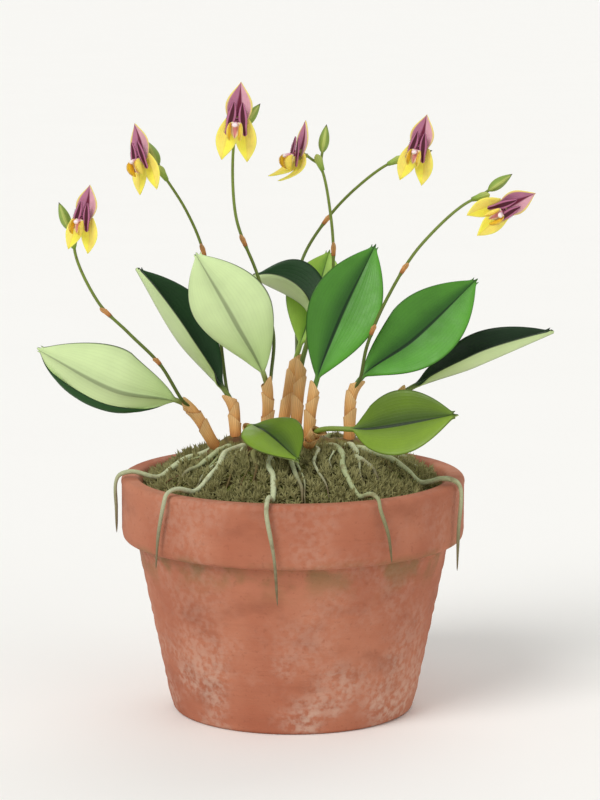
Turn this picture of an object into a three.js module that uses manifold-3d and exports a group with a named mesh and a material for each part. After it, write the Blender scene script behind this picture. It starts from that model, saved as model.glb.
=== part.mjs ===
// A miniature orchid, Lepanthes tridentata, growing in moss in a small clay pot. Millimetres, +Z up.
// The origin is the middle of the pot's foot, on the surface it stands on, and -Y is the front.
import * as THREE from "three";
import { mergeVertices } from "three/addons/utils/BufferGeometryUtils.js";
import Module from "manifold-3d";

const wasm = await Module();
wasm.setup();

// Driving dimensions
const GAP = 0.3; // clearance between neighbouring pieces
const POT = {
  height: 40,
  rimRadius: 29,
  bandHeight: 11,
  bandStep: 2.6,
  bandSlope: 0.4,
  footRadius: 20.5,
  wall: 3.2,
  floor: 3.5,
  lip: 0.9,
  insideCorner: 2,
  drains: 3,
  drainRadius: 2.2,
  drainRing: 9,
  drainSides: 12,
  sides: 36,
};
const MOSS = { edgeDrop: 2.5, rise: 7, flatness: 3, rings: 6 };
const HUMMOCK = { height: 0.45, alongX: 0.62, alongY: 0.55, slantX: 0.45, slantY: 0.9, slantShare: 0.6 };
const RHIZOME = { radius: 1.7, branchRadius: 1.5, ends: 0.8, sunk: 0.4, sides: 6, steps: 8, branchSteps: 4 };
const ROOT = {
  radius: 0.6,
  tip: 0.35,
  sides: 5,
  lift: 0.1, // how far above its clearance it lies
  collar: [11, 0.6], // half length and half width of the ring along the rhizome that the roots leave
  lyingPoints: 5,
  wander: 1.6,
  swing: 4.2, // how far its wandering turns from end to end, in radians
  diveDepth: 2.4,
  diveLength: 1.8,
  taper: 3, // the power by which it narrows to its tip
  drifted: 0.7, // how much of its drift it has half way down the wall
};
const STEM = { radius: 0.44, edge: 0.5, seat: 0.6 };
const SHEATH = { foot: 1.22, mouth: 1.32, waist: 1.2, bore: 0.74, lip: 1, cover: 1, sides: 6, steps: 5 };
const LEAF = {
  thick: 0.9,
  edge: 0.65,
  across: 4,
  stations: 9,
  stemStations: 3,
  tooth: 0.35,
  tipWidth: 0.5,
  belly: 1.06, // above 1 it is widest past the middle
  fullness: 0.88, // below 1 its sides are rounder than a sine
  trough: 1.4, // the power by which its sides rise from the midrib
};
const STALK = {
  base: 0.44,
  end: 0.38,
  knob: 0.12,
  besideStem: 0.12,
  aboveMouth: 1,
  away: [1.6, 0.5], // its first run, along its shoot and away from it
  behind: [0, -0.7, -2.6], // where it turns to the flower, in the flower's own frame
  seatGap: 0.54,
  sides: 5,
  steps: 11,
};
const BRACT = { length: 2.8, radius: 0.68, tip: 0.3, lean: 0.8, taper: 1.5, sides: 5, steps: 2 };
const BUD = {
  length: 4.9,
  radius: 0.95,
  stalk: 2.2,
  stalkRadius: 0.34,
  blunt: 0.95,
  fullness: 0.8,
  sides: 5,
  steps: 6,
};
const BLADE = { thick: 0.6, edge: 0.5, tip: 0.14, across: 2, stations: 6, step: 0.05 };

// One flower at size 1, with X to its right, Y up its dorsal sepal and Z out of its face
const DORSAL = { foot: -0.2, length: 6.4, width: 4.3, hollow: 0.9, widest: 0.4, base: 0.55, cup: 0.2 };
const LATERAL = {
  top: [0.85, 0.4],
  middle: [1.82, -3.05],
  tip: [2.02, -6.1],
  hollow: 0.25,
  rise: 0.3, // how far its tip lifts for each unit that it comes forward
  width: 3.3,
  widest: 0.42,
  base: 0.6,
  cup: 0.1,
};
const HUB = { radius: 1.1, back: 0.82, depth: 0.8, sides: 6 };
const PETAL = {
  top: [0.7, 3.2],
  waist: [0.85, 0.9],
  foot: [1.5, -2],
  depth: 1,
  width: 1.35,
  widest: 0.55,
  base: 0.2,
  cup: 0.1,
};
const BRIDGE = { width: 1.9, height: 0.7, middle: 0.5 };
const PLATE = { top: 0.2, height: 2.9, spread: 0.82, bulge: 0.94, widest: 0.5, base: 0.4, stations: 4 };
const LIP = { depth: 1.9, reach: 1.6 };
const KEEL = { top: 0.1, length: 2.5, width: 1.9, widest: 0.35, base: 0.8, stations: 3 };
const COLUMN = { back: -0.2, drop: 0.2, radius: 0.42, anther: 0.6, sides: 5, steps: 3 };

// Where each leafy shoot stands: its foot on the rhizome, the mouth of its sheath, the middle and the tip
// of its blade, the way the upper face looks, and the blade's width. Fold is the depth of its trough as a
// share of its half width.
const SHOOTS = [
  { foot: [-13, -0.5], mouth: [-18, -3, 52.3], middle: [-29.5, -7.5, 55.6], tip: [-41.5, -11, 62.8],
    face: [-0.1, 0.9, 0.42], width: 14, petiole: 0.08, fold: 0.22 },
  { foot: [-9.6, 0.3], mouth: [-10.5, 1.5, 52.3], middle: [-19.2, 3.6, 62.4], tip: [-26, 5, 74],
    face: [0.7, -0.5, 0.49], width: 14, petiole: 0.1, fold: 0.8 },
  { foot: [-4.6, -1], mouth: [-4.4, -4, 56], middle: [-9.6, -8.8, 67.5], tip: [-15.5, -12.5, 78.5],
    face: [0.1, 0.9, 0.4], width: 14, petiole: 0.08, fold: 0.25 },
  { foot: [0.4, 1], mouth: [1.4, 4.2, 57.5], middle: [2.8, 6.4, 66.8], tip: [-6.4, 8.8, 72.6],
    face: [0.3, -0.42, 0.85], width: 12.5, petiole: 0.4, fold: 0.8 },
  { foot: [-2, 4], mouth: [0.4, 8.2, 58], middle: [3.4, 11, 67], tip: [6.2, 14.6, 76],
    face: [-0.05, -0.93, 0.35], width: 10.5, petiole: 0.14, fold: 0.25, young: true },
  { foot: [2.6, -1], mouth: [3.6, -0.8, 54.5], middle: [7.8, 1.5, 66], tip: [13.8, 5, 78],
    face: [0.05, -0.97, 0.2], width: 12.4, petiole: 0.08, fold: 0.28 },
  { foot: [9.4, 0], mouth: [10.6, 0.6, 55], middle: [20.6, 3.2, 62.6], tip: [31, 7, 72],
    face: [0, -0.93, 0.36], width: 12.4, petiole: 0.08, fold: 0.28 },
  { foot: [14, 2.4], mouth: [18.4, 5.6, 52.6], middle: [31, 8.2, 57.4], tip: [44, 9, 63],
    face: [-0.33, -0.42, 0.83], width: 10, petiole: 0.1, fold: 0.8 },
  { foot: [2.6, -5], mouth: [4.2, -7.4, 48.6], middle: [13, -11.6, 49.6], tip: [26.4, -17, 52.8],
    face: [-0.25, -0.85, 0.45], width: 11.6, petiole: 0.34, fold: 0.25, young: true },
  { foot: [-6.4, -4.6], mouth: [-7.4, -6.8, 49], middle: [-4.4, -12.6, 49.2], tip: [0.8, -18.4, 45.6],
    face: [0.1, -0.6, 0.8], width: 10.6, petiole: 0.18, fold: 0.22, young: true },
];

// Each flowering stem: the shoot it grows beside and the side it leaves on, the points that it passes, its
// node, and the flower's middle, upward and facing ways. Reach is how far forward its lower sepals come.
const STALKS = [
  { shoot: 0, side: [0.2, -1, 0.3], via: [[-22, -7.6, 59.8], [-27, -10.2, 65.4], [-32, -11, 70.8]],
    node: [-35.7, -10.2, 80.2], bracts: [0.24, 0.53], bud: [-0.35, 0, 0.95],
    at: [-33.8, -13.4, 84.4], up: [0.18, 0, 0.98], facing: [-0.4, -0.9, 0.05], reach: 0.5, size: 0.9 },
  { shoot: 1, side: [-0.1, 1, 0], via: [[-12.6, 6, 64], [-15.2, 7.4, 77], [-18, 6, 84]],
    node: [-21.6, 4, 90], bracts: [0.24, 0.56], bud: [-0.42, 0.45, 0.8],
    at: [-25, 2, 93], up: [-0.37, 0, 0.93], facing: [-0.62, -0.78, 0], reach: 0.7, size: 0.97 },
  { shoot: 2, side: [0.8, 0.6, 0], via: [[-3.2, -3.4, 64], [-5.8, -3.6, 74], [-9.4, -4, 84]],
    node: [-9.6, -2.6, 96.8], bracts: [0.26, 0.52], bud: [0.6, 0.1, 0.8],
    at: [-9, -6.4, 99.6], up: [0.08, 0, 1], facing: [-0.12, -0.99, 0.05], reach: 0.3, size: 1.05 },
  { shoot: 5, side: [0, 1, 0], via: [[5, 3.6, 62], [6.8, 6.2, 74], [6.4, 7, 83]],
    node: [4.6, 7, 91.4], bracts: [0.29, 0.56], bud: [0.15, 0.1, 0.98],
    at: [1.2, 6, 93.4], up: [0.3, 0, 0.95], facing: [-0.88, -0.46, 0.1], reach: 4.8, size: 0.93 },
  { shoot: 4, side: [0, 1, 0],
    via: [[0.6, 13.6, 67], [1.6, 17.4, 74.4], [6, 17.8, 81.6], [11.6, 16, 87.6]],
    node: [17, 13.8, 91.6], bracts: [0.27, 0.53], bud: [0.9, 0.1, 0.25],
    at: [21.4, 11.6, 93.8], up: [0.22, 0, 0.97], facing: [-0.28, -0.95, 0.05], reach: 0.5, size: 0.97 },
  { shoot: 6, side: [0.1, -1, 0.2], via: [[12.4, -1.8, 62], [15.6, -3, 70], [21.4, -4, 79.4]],
    node: [30.4, -4.6, 87], bracts: [0.22, 0.48], bud: [0.82, 0.1, 0.56],
    at: [34.4, -6, 85.4], up: [0.89, 0, 0.46], facing: [-0.05, -0.97, -0.22], reach: 1.6, size: 0.97 },
];

// The rhizome creeps from left to right, with short branches to the shoots that stand apart.
const RHIZOME_RUN = [[-14.6, -0.6], [-9, 0.4], [-4.4, -0.6], [1, 0.2], [6, -0.4], [10.5, 0.4], [15.4, 2.8]];
const RHIZOME_BRANCHES = [
  [[-3.4, 0], [-2.4, 2.4], [-1.9, 4.8]],
  [[2.6, -0.4], [2.4, -3], [2.7, -5.8]],
  [[-5.4, -0.8], [-6, -3], [-6.5, -5.4]],
];

// Each root's bearing in degrees, with the share of the moss it crosses before it dives in, or else how far
// below the rim's top it hangs, and how far it drifts sideways down there.
const ROOTS = [
  { bearing: -172, hang: 9, drift: 1.4 },
  { bearing: -152, reach: 0.8 },
  { bearing: -134, hang: 12, drift: -2 },
  { bearing: -111, reach: 0.66 },
  { bearing: -98, hang: 16, drift: 1.8 },
  { bearing: -86, reach: 0.84 },
  { bearing: -62, hang: 10, drift: 2.2 },
  { bearing: -43, reach: 0.72 },
  { bearing: -22, hang: 14, drift: -1.6 },
  { bearing: 14, reach: 0.8 },
  { bearing: 66, hang: 8, drift: 1.2 },
  { bearing: 128, reach: 0.74 },
];

const FINISH = {
  pot: [0xb5653a, 0.9],
  moss: [0x9a9460, 1.0],
  rhizome: [0x8d8a5c, 0.8],
  leaf: [0x3f8a2c, 0.45],
  youngLeaf: [0x86a832, 0.45],
  sheath: [0xd2914f, 0.75],
  stalk: [0x7d9a2e, 0.55],
  sepals: [0xe8d169, 0.5],
  petals: [0x6b1c38, 0.5],
  lip: [0xf0c52c, 0.45],
};

const vec = (p) => new THREE.Vector3(...p);
const mix = (a, b, t) => a + (b - a) * t;
const evenly = (from, to, count) => Array.from({ length: count + 1 }, (_, i) => mix(from, to, i / count));

function material([color, roughness]) {
  return new THREE.MeshStandardMaterial({ color, roughness, metalness: 0 });
}

// A named piece in its own colour.
function piece(name, geometry, finish) {
  const mesh = new THREE.Mesh(geometry, material(finish));
  mesh.name = name;
  return mesh;
}

// A skin over rings of points that all have the same count. It closes on itself, or has a fan at each end.
// From column lowerFrom on, the quads are split the other way, so that a blade's two faces are split alike.
function skin(rings, { loop = false, lowerFrom = Infinity } = {}) {
  const n = rings[0].length;
  const position = rings.flat().flatMap((p) => [p.x, p.y, p.z]);
  const index = [];
  const spans = loop ? rings.length : rings.length - 1;
  for (let i = 0; i < spans; i++) {
    const next = ((i + 1) % rings.length) * n;
    for (let j = 0; j < n; j++) {
      const k = (j + 1) % n;
      const [a, b, c, d] = [i * n + j, i * n + k, next + j, next + k];
      if (j >= lowerFrom) index.push(a, b, c, b, d, c);
      else index.push(a, b, d, a, d, c);
    }
  }
  if (!loop) {
    [rings[0], rings.at(-1)].forEach((ring, end) => {
      const middle = ring.reduce((sum, p) => sum.add(p), new THREE.Vector3()).divideScalar(n);
      const centre = position.length / 3;
      position.push(middle.x, middle.y, middle.z);
      const first = end ? (rings.length - 1) * n : 0;
      for (let j = 0; j < n; j++) {
        const pair = [first + j, first + ((j + 1) % n)];
        index.push(centre, ...(end ? pair : pair.reverse()));
      }
    });
  }
  const geometry = new THREE.BufferGeometry();
  geometry.setAttribute("position", new THREE.Float32BufferAttribute(position, 3));
  geometry.setIndex(index);
  geometry.computeVertexNormals();
  return geometry;
}

// Rings round a run of points, each turned as little as can be from the one before. The radius and the
// shift along the run are given by the share of the points passed, and the shift by the angle as well.
function ringsRound(points, radiusAt, sides, shiftAt = () => 0) {
  const last = points.length - 1;
  const normal = new THREE.Vector3();
  const turn = new THREE.Quaternion();
  let before = null;
  return points.map((centre, i) => {
    const along = points[Math.min(i + 1, last)].clone().sub(points[Math.max(i - 1, 0)]).normalize();
    if (before) normal.applyQuaternion(turn.setFromUnitVectors(before, along));
    else normal.set(Math.abs(along.x) < 0.6 ? 1 : 0, 0, 1).cross(along).cross(along).normalize();
    before = along;
    const across = new THREE.Vector3().crossVectors(along, normal);
    return evenly(0, 2 * Math.PI, sides).slice(0, -1).map((angle) =>
      centre
        .clone()
        .addScaledVector(normal, radiusAt(i / last) * Math.cos(angle))
        .addScaledVector(across, radiusAt(i / last) * Math.sin(angle))
        .addScaledVector(along, shiftAt(i / last, angle)));
  });
}

const tubeRound = (points, radiusAt, sides) => skin(ringsRound(points, radiusAt, sides));
const tube = (curve, radiusAt, sides, steps) => tubeRound(curve.getSpacedPoints(steps), radiusAt, sides);

// Cross-sections of a blade at shares of its spine. Half width and thickness are given at each share, and
// lift raises a point towards the upper face by its place s across, from -1 to 1. The thickness lies
// square to the raised surface.
function bladeRings(curve, face, shares, across, { halfWidth, thick, lift, edge, ahead = () => 0 }) {
  return shares.map((t) => {
    const along = curve.getTangent(t).normalize();
    const up = face.clone().addScaledVector(along, -face.dot(along)).normalize();
    const side = new THREE.Vector3().crossVectors(along, up);
    const centre = curve.getPoint(t);
    const w = halfWidth(t);
    const point = (s, sign) => {
      const slope = Math.atan2(lift(t, s + BLADE.step) - lift(t, s - BLADE.step), 2 * BLADE.step * w);
      const away = (sign * mix(thick(t), edge(t), s * s)) / 2;
      return centre
        .clone()
        .addScaledVector(side, s * w - away * Math.sin(slope))
        .addScaledVector(up, lift(t, s) + away * Math.cos(slope))
        .addScaledVector(along, ahead(t, s));
    };
    const places = evenly(-1, 1, across);
    return [...places.map((s) => point(s, 1)), ...places.reverse().map((s) => point(s, -1))];
  });
}

const blade = (curve, face, shares, across, form) =>
  skin(bladeRings(curve, face, shares, across, form), { lowerFrom: across + 1 });

// A closed geometry as a solid that can be joined and cut, and back.
function solid(geometry) {
  const bare = new THREE.BufferGeometry();
  bare.setAttribute("position", geometry.getAttribute("position"));
  bare.setIndex(geometry.index);
  const merged = mergeVertices(bare, 1e-4);
  const triVerts = [];
  const corners = merged.index.array;
  for (let i = 0; i < corners.length; i += 3) {
    const [a, b, c] = corners.slice(i, i + 3);
    if (a !== b && b !== c && c !== a) triVerts.push(a, b, c);
  }
  const vertProperties = merged.attributes.position.array;
  const mesh = new wasm.Mesh({ numProp: 3, vertProperties, triVerts: new Uint32Array(triVerts) });
  return new wasm.Manifold(mesh);
}

function geometryOf(made) {
  const mesh = made.getMesh();
  const geometry = new THREE.BufferGeometry();
  geometry.setAttribute("position", new THREE.BufferAttribute(mesh.vertProperties.slice(), 3));
  geometry.setIndex(new THREE.BufferAttribute(mesh.triVerts.slice(), 1));
  geometry.computeVertexNormals();
  return geometry;
}

const union = (geometries) => geometries.map(solid).reduce((sum, part) => sum.add(part));

// The pot's walls, as radii at a height.
const bandFoot = POT.height - POT.bandHeight;
const rimBore = POT.rimRadius - POT.wall;
const outerRadius = (z) => mix(POT.footRadius, POT.rimRadius - POT.bandStep, z / bandFoot);
const innerRadius = (z) =>
  mix(POT.footRadius - POT.wall, rimBore, (z - POT.floor) / (POT.height - POT.floor));

function turned(profile, sides) {
  const geometry = new THREE.LatheGeometry(profile.map(([r, z]) => new THREE.Vector2(r, z)), sides);
  return geometry.rotateX(Math.PI / 2);
}

// The clay pot: tapered body, thick rim band with rounded lips, and drain holes in the floor.
function potGeometry() {
  const { height, rimRadius, bandSlope, footRadius, floor, lip, insideCorner } = POT;
  const profile = [
    [0, 0],
    [footRadius - lip, 0],
    [footRadius, lip],
    [outerRadius(bandFoot), bandFoot],
    [rimRadius - lip, bandFoot + bandSlope],
    [rimRadius - lip / 4, bandFoot + bandSlope + lip],
    [rimRadius, height - lip],
    [rimRadius - lip, height],
    [rimBore + lip, height],
    [rimBore, height - lip],
    [innerRadius(floor + insideCorner), floor + insideCorner],
    [innerRadius(floor) - insideCorner, floor],
    [0, floor],
  ];
  let pot = solid(turned(profile, POT.sides));
  for (let i = 0; i < POT.drains; i++) {
    const bearing = (2 * Math.PI * (i + 1 / 4)) / POT.drains;
    const hole = new THREE.CylinderGeometry(POT.drainRadius, POT.drainRadius, 3 * floor, POT.drainSides);
    hole.rotateX(Math.PI / 2);
    hole.translate(POT.drainRing * Math.cos(bearing), POT.drainRing * Math.sin(bearing), floor / 2);
    pot = pot.subtract(solid(hole));
  }
  return geometryOf(pot);
}

// The height of the moss at a point: a flat-topped cushion with low hummocks.
const mossBrim = POT.height - MOSS.edgeDrop;
const mossEdge = { radius: innerRadius(mossBrim) - GAP, height: mossBrim };
function mossHeight(x, y) {
  const share = Math.min(1, Math.hypot(x, y) / mossEdge.radius);
  const { height, alongX, alongY, slantX, slantY, slantShare } = HUMMOCK;
  const square = Math.sin(alongX * x + 1) * Math.cos(alongY * y);
  const slant = Math.sin(slantX * x + slantY * y);
  const hummocks = height * (square + slantShare * slant) * (1 - share ** 4);
  return mossEdge.height + MOSS.rise * (1 - share ** MOSS.flatness) + hummocks;
}

// The moss fills the pot, and whatever lies in it has its own groove.
function mossGeometry(grooves) {
  const corner = POT.floor + POT.insideCorner;
  const wall = [
    [0, POT.floor],
    [innerRadius(POT.floor) - POT.insideCorner - GAP, POT.floor],
    [innerRadius(corner) - GAP, corner],
  ];
  const crown = evenly(mossEdge.radius, 0, MOSS.rings).map((radius) => [radius, mossEdge.height]);
  const profile = [...wall, ...crown];
  const geometry = turned(profile, POT.sides);
  const position = geometry.attributes.position;
  for (let i = 0; i < position.count; i++)
    if (i % profile.length >= wall.length)
      position.setZ(i, mossHeight(position.getX(i), position.getY(i)));
  return geometryOf(solid(geometry).subtract(grooves));
}

// The rhizome's line, half sunk in the moss.
const onMoss = ([x, y], above) => new THREE.Vector3(x, y, mossHeight(x, y) + above);
const creeping = (run) => new THREE.CatmullRomCurve3(run.map((p) => onMoss(p, RHIZOME.sunk)));
const rhizomeTop = (x, y) => mossHeight(x, y) + RHIZOME.sunk + RHIZOME.radius;

// A root leaves the rhizome on its bearing, wanders over the moss, and dives into it or hangs over the rim.
function rootPoints({ bearing, reach, hang, drift }) {
  const angle = THREE.MathUtils.degToRad(bearing);
  const outward = new THREE.Vector3(Math.cos(angle), Math.sin(angle), 0);
  const aside = new THREE.Vector3(-outward.y, outward.x, 0);
  const clear = ROOT.radius + GAP + ROOT.lift;
  const start = [ROOT.collar[0] * outward.x, ROOT.collar[1] * outward.y];
  const end = outward.clone().multiplyScalar(mossEdge.radius * (reach ?? 1) - (hang ? 2 * clear : 0));
  const lying = evenly(0, 1, ROOT.lyingPoints).slice(1).map((share) => {
    const swing = ROOT.wander * Math.sin(bearing + ROOT.swing * share) * Math.sin(Math.PI * share);
    const place = new THREE.Vector3(...start, 0).lerp(end, share).addScaledVector(aside, swing);
    return onMoss([place.x, place.y], clear);
  });
  const at = (radius, z, shift = 0) =>
    outward.clone().multiplyScalar(radius).addScaledVector(aside, shift).setZ(z);
  const points = [onMoss(start, RHIZOME.sunk), ...lying];
  if (!hang) return [...points, at(end.length() + ROOT.diveLength, lying.at(-1).z - ROOT.diveDepth)];
  const { height, rimRadius, lip } = POT;
  const bend = evenly(0, Math.PI / 2, 2).map((turn) =>
    at(rimRadius - lip + (lip + clear) * Math.sin(turn), height - lip + (lip + clear) * Math.cos(turn)));
  const wall = rimRadius + clear;
  return [...points, at(rimBore + lip, height + clear), ...bend,
    at(wall, height - (lip + hang) / 2, ROOT.drifted * drift), at(wall, height - hang, drift)];
}

// The rhizome and its roots as one body, grown fatter where a groove for it is wanted.
function rhizomeSolid(extra = 0) {
  const runs = [RHIZOME_RUN, ...RHIZOME_BRANCHES].map((run, i) => {
    const middle = i ? RHIZOME.branchRadius : RHIZOME.radius;
    const taper = (t) => middle * mix(1, RHIZOME.ends, (2 * t - 1) ** 4) + extra;
    return tube(creeping(run), taper, RHIZOME.sides, i ? RHIZOME.branchSteps : RHIZOME.steps);
  });
  const roots = ROOTS.map((root) =>
    tubeRound(rootPoints(root), (t) => mix(ROOT.radius, ROOT.tip, t ** ROOT.taper) + extra, ROOT.sides));
  return union([...runs, ...roots]);
}

// The line of a shoot, from its seat on the rhizome through the sheath's mouth to the leaf's tip.
function shootCurve({ foot, mouth, middle, tip }) {
  const seat = new THREE.Vector3(foot[0], foot[1], rhizomeTop(...foot) - STEM.seat);
  return new THREE.CatmullRomCurve3([seat, vec(mouth), vec(middle), vec(tip)], false, "centripetal");
}
const MOUTH = 1 / 3; // the mouth is the second of the curve's four points

// The stem inside the sheath, then the petiole, then the blade with its trough and three-toothed tip.
function leafGeometry(shoot) {
  const curve = shootCurve(shoot);
  const start = mix(MOUTH, 1, shoot.petiole);
  const along = (t) => Math.max(0, (t - start) / (1 - start));
  const inBlade = (t) => Math.min(1, along(t) * LEAF.stations);
  const flatHalf = (t) => {
    const u = along(t);
    const least = u > 0.5 ? LEAF.tipWidth : STEM.radius;
    const share = u < 1 ? Math.sin(Math.PI * u ** LEAF.belly) ** LEAF.fullness : 0;
    return Math.max(least, (shoot.width / 2) * share);
  };
  const kept = Math.sqrt(1 - shoot.fold ** 2); // the share of its width that a folded blade keeps
  const form = {
    halfWidth: (t) => flatHalf(t) * mix(1, kept, inBlade(t)),
    thick: (t) => mix(2 * STEM.radius, LEAF.thick, inBlade(t)),
    edge: (t) => mix(STEM.edge, LEAF.edge, inBlade(t)),
    lift: (t, s) => shoot.fold * flatHalf(t) * Math.abs(s) ** LEAF.trough * inBlade(t),
    ahead: (t, s) => (t === 1 ? LEAF.tooth * Math.cos(2 * Math.PI * s) : 0),
  };
  const shares = [...evenly(0, MOUTH, LEAF.stemStations), ...evenly(start, 1, LEAF.stations)];
  return blade(curve, vec(shoot.face).normalize(), shares, LEAF.across, form);
}

// The papery sheath round the stem: two nested funnels, the upper with a slanting mouth.
function sheathRings(shoot) {
  const whole = shootCurve(shoot);
  const inStem = evenly(0, MOUTH * SHEATH.cover, SHEATH.steps).map((t) => whole.getPoint(t));
  const points = new THREE.CatmullRomCurve3(inStem).getSpacedPoints(SHEATH.steps);
  const outer = (t) =>
    t <= 0.5 ? mix(SHEATH.foot, SHEATH.mouth, 2 * t) : mix(SHEATH.waist, SHEATH.mouth, 2 * t - 1);
  const lip = (t, angle) => (t === 1 ? (SHEATH.lip * (Math.cos(angle) - 1)) / 2 : 0);
  return {
    outside: ringsRound(points, outer, SHEATH.sides, lip),
    inside: ringsRound(points, () => SHEATH.bore, SHEATH.sides, lip),
    seat: ringsRound(points, (t) => outer(t) + GAP, SHEATH.sides, (t) => (t === 0 ? -GAP : 0)),
  };
}

function sheathGeometry(shoot) {
  const { outside, inside } = sheathRings(shoot);
  return skin([...outside, ...inside.reverse()], { loop: true });
}

// The group that carries a flower: its own X is its right, Y its dorsal sepal and Z its face.
function flowerFrame({ at, up, facing, size }) {
  const group = new THREE.Group();
  const z = vec(facing).normalize();
  const y = vec(up).addScaledVector(z, -vec(up).dot(z)).normalize();
  const x = new THREE.Vector3().crossVectors(y, z);
  group.quaternion.setFromRotationMatrix(new THREE.Matrix4().makeBasis(x, y, z));
  group.position.set(...at);
  group.scale.setScalar(size);
  group.updateMatrixWorld(true);
  return group;
}

// The line of a flowering stem, from beside its shoot past its node to the back of the flower.
function stalkCurve(stalk, frame) {
  const line = shootCurve(SHOOTS[stalk.shoot]);
  const along = line.getTangent(MOUTH).normalize();
  const side = vec(stalk.side);
  side.addScaledVector(along, -side.dot(along)).normalize();
  const clear = STEM.radius + STALK.base + GAP + STALK.besideStem;
  const start = line.getPoint(MOUTH).addScaledVector(side, clear).addScaledVector(along, STALK.aboveMouth);
  const away = start.clone().addScaledVector(along, STALK.away[0]).addScaledVector(side, STALK.away[1]);
  const behind = frame.localToWorld(vec(STALK.behind));
  const end = frame.localToWorld(new THREE.Vector3(0, 0, -HUB.depth - STALK.seatGap));
  const points = [start, away, ...stalk.via.map(vec), vec(stalk.node), behind, end];
  return new THREE.CatmullRomCurve3(points, false, "centripetal");
}

// A papery bract that leans out of the stem at a share of its length.
function bractGeometry(line, share) {
  const foot = line.getPointAt(share);
  const way = line.getTangentAt(share);
  const out = new THREE.Vector3(0, -1, 0).addScaledVector(way, way.y).normalize();
  const tip = foot.clone().addScaledVector(way, BRACT.length).addScaledVector(out, BRACT.lean);
  const radius = (t) => mix(BRACT.radius, BRACT.tip, t ** BRACT.taper);
  return tube(new THREE.LineCurve3(foot, tip), radius, BRACT.sides, BRACT.steps);
}

// The next flower's bud on its own short stalk.
function budGeometry(stalk) {
  const whole = BUD.stalk + BUD.length;
  const foot = vec(stalk.node);
  const tip = foot.clone().addScaledVector(vec(stalk.bud).normalize(), whole);
  const radius = (t) => {
    const inBud = Math.max(0, (t * whole - BUD.stalk) / BUD.length);
    const swell = Math.sin(Math.PI * Math.min(inBud, BUD.blunt) ** BUD.fullness) ** BUD.fullness;
    return mix(BUD.stalkRadius * (1 - inBud / 2), BUD.radius, swell);
  };
  return tube(new THREE.LineCurve3(foot, tip), radius, BUD.sides, BUD.steps);
}

// A flowering stem: slender stalk with papery bracts, a bud at its node, and the flower's own short stalk.
function stalkGeometry(stalk, frame) {
  const line = stalkCurve(stalk, frame);
  const taper = (t) => mix(STALK.base, STALK.end, t) + (t === 1 ? STALK.knob : 0);
  const bracts = stalk.bracts.map((share) => bractGeometry(line, share));
  return geometryOf(union([tube(line, taper, STALK.sides, STALK.steps), ...bracts, budGeometry(stalk)]));
}

// The half width of a petal as a share of its greatest, rising from its base and closing to a point.
const POINTED = { blunt: 1.01, fullness: 0.9 };
const ovate = (widest, base) => (t) => {
  if (t < widest) return mix(base, 1, Math.sin((Math.PI * t) / (2 * widest)));
  return Math.cos((Math.PI * (t - widest)) / (2 * POINTED.blunt * (1 - widest))) ** POINTED.fullness;
};

const FACE = [0, 0, 1];

// A thin blade of a flower, along a line that leaves the first point for the second and ends in the third.
function petalBlade(points, face, width, { widest, base, cup = 0, stations = BLADE.stations }) {
  const shape = ovate(widest, base);
  const halfWidth = (t) => Math.max(BLADE.tip, (width / 2) * shape(t));
  const curve = new THREE.QuadraticBezierCurve3(...points.map(vec));
  return blade(curve, vec(face), evenly(0, 1, stations), BLADE.across, {
    halfWidth,
    thick: () => BLADE.thick,
    edge: () => BLADE.edge,
    lift: (t, s) => cup * halfWidth(t) * s * s,
  });
}

// Three sepals joined at the base: the dorsal one upright, the two lower ones side by side.
function sepalsGeometry(reach) {
  const { foot, length, width, hollow } = DORSAL;
  const dorsal = petalBlade([[0, foot, 0], [0, length / 2, -hollow], [0, length, 0]], FACE, width, DORSAL);
  const lower = [-1, 1].map((side) => {
    const top = [LATERAL.top[0] * side, LATERAL.top[1], 0];
    const middle = [LATERAL.middle[0] * side, LATERAL.middle[1], -LATERAL.hollow - reach / 5];
    const tip = [LATERAL.tip[0] * side, LATERAL.tip[1] + LATERAL.rise * reach, reach];
    return petalBlade([top, middle, tip], FACE, LATERAL.width, LATERAL);
  });
  const hub = new THREE.CylinderGeometry(HUB.radius, HUB.back, HUB.depth, HUB.sides);
  hub.rotateX(Math.PI / 2);
  hub.translate(0, 0, -HUB.depth / 2);
  return geometryOf(union([dorsal, ...lower, hub]));
}

// The pair of narrow maroon petals, each with an upper and a lower lobe, joined across the middle.
function petalsGeometry() {
  const pair = [-1, 1].map((side) => {
    const spine = [PETAL.top, PETAL.waist, PETAL.foot].map(([x, y]) => [x * side, y, PETAL.depth]);
    return petalBlade(spine, FACE, PETAL.width, PETAL);
  });
  const bridge = new THREE.BoxGeometry(BRIDGE.width, BRIDGE.height, BLADE.thick);
  bridge.translate(0, BRIDGE.middle, PETAL.depth);
  return geometryOf(union([...pair, bridge]));
}

// The lip: two rounded plates that stand either side of the column, joined below it by a pointed keel.
function lipGeometry() {
  const { depth, reach } = LIP;
  const { top, height, spread, bulge } = PLATE;
  const plates = [-1, 1].map((side) => {
    const spine = [[spread, top], [bulge, -height / 2], [spread, -height]];
    const points = spine.map(([x, y]) => [x * side, y, depth + reach / 2]);
    return petalBlade(points, [side, 0, 0], reach, PLATE);
  });
  const spine = [[0, KEEL.top, depth], [0, -KEEL.length / 2, depth], [0, -KEEL.length, depth]];
  const keel = petalBlade(spine, FACE, KEEL.width, KEEL);
  const back = vec([0, -COLUMN.drop, depth + COLUMN.back]);
  const axis = new THREE.LineCurve3(back, vec([0, -2 * COLUMN.drop, depth + reach]));
  const radius = (t) => COLUMN.radius * (t === 1 ? COLUMN.anther : 1);
  return geometryOf(union([...plates, keel, tube(axis, radius, COLUMN.sides, COLUMN.steps)]));
}

const plant = new THREE.Group();
plant.add(piece("pot", potGeometry(), FINISH.pot));

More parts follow.
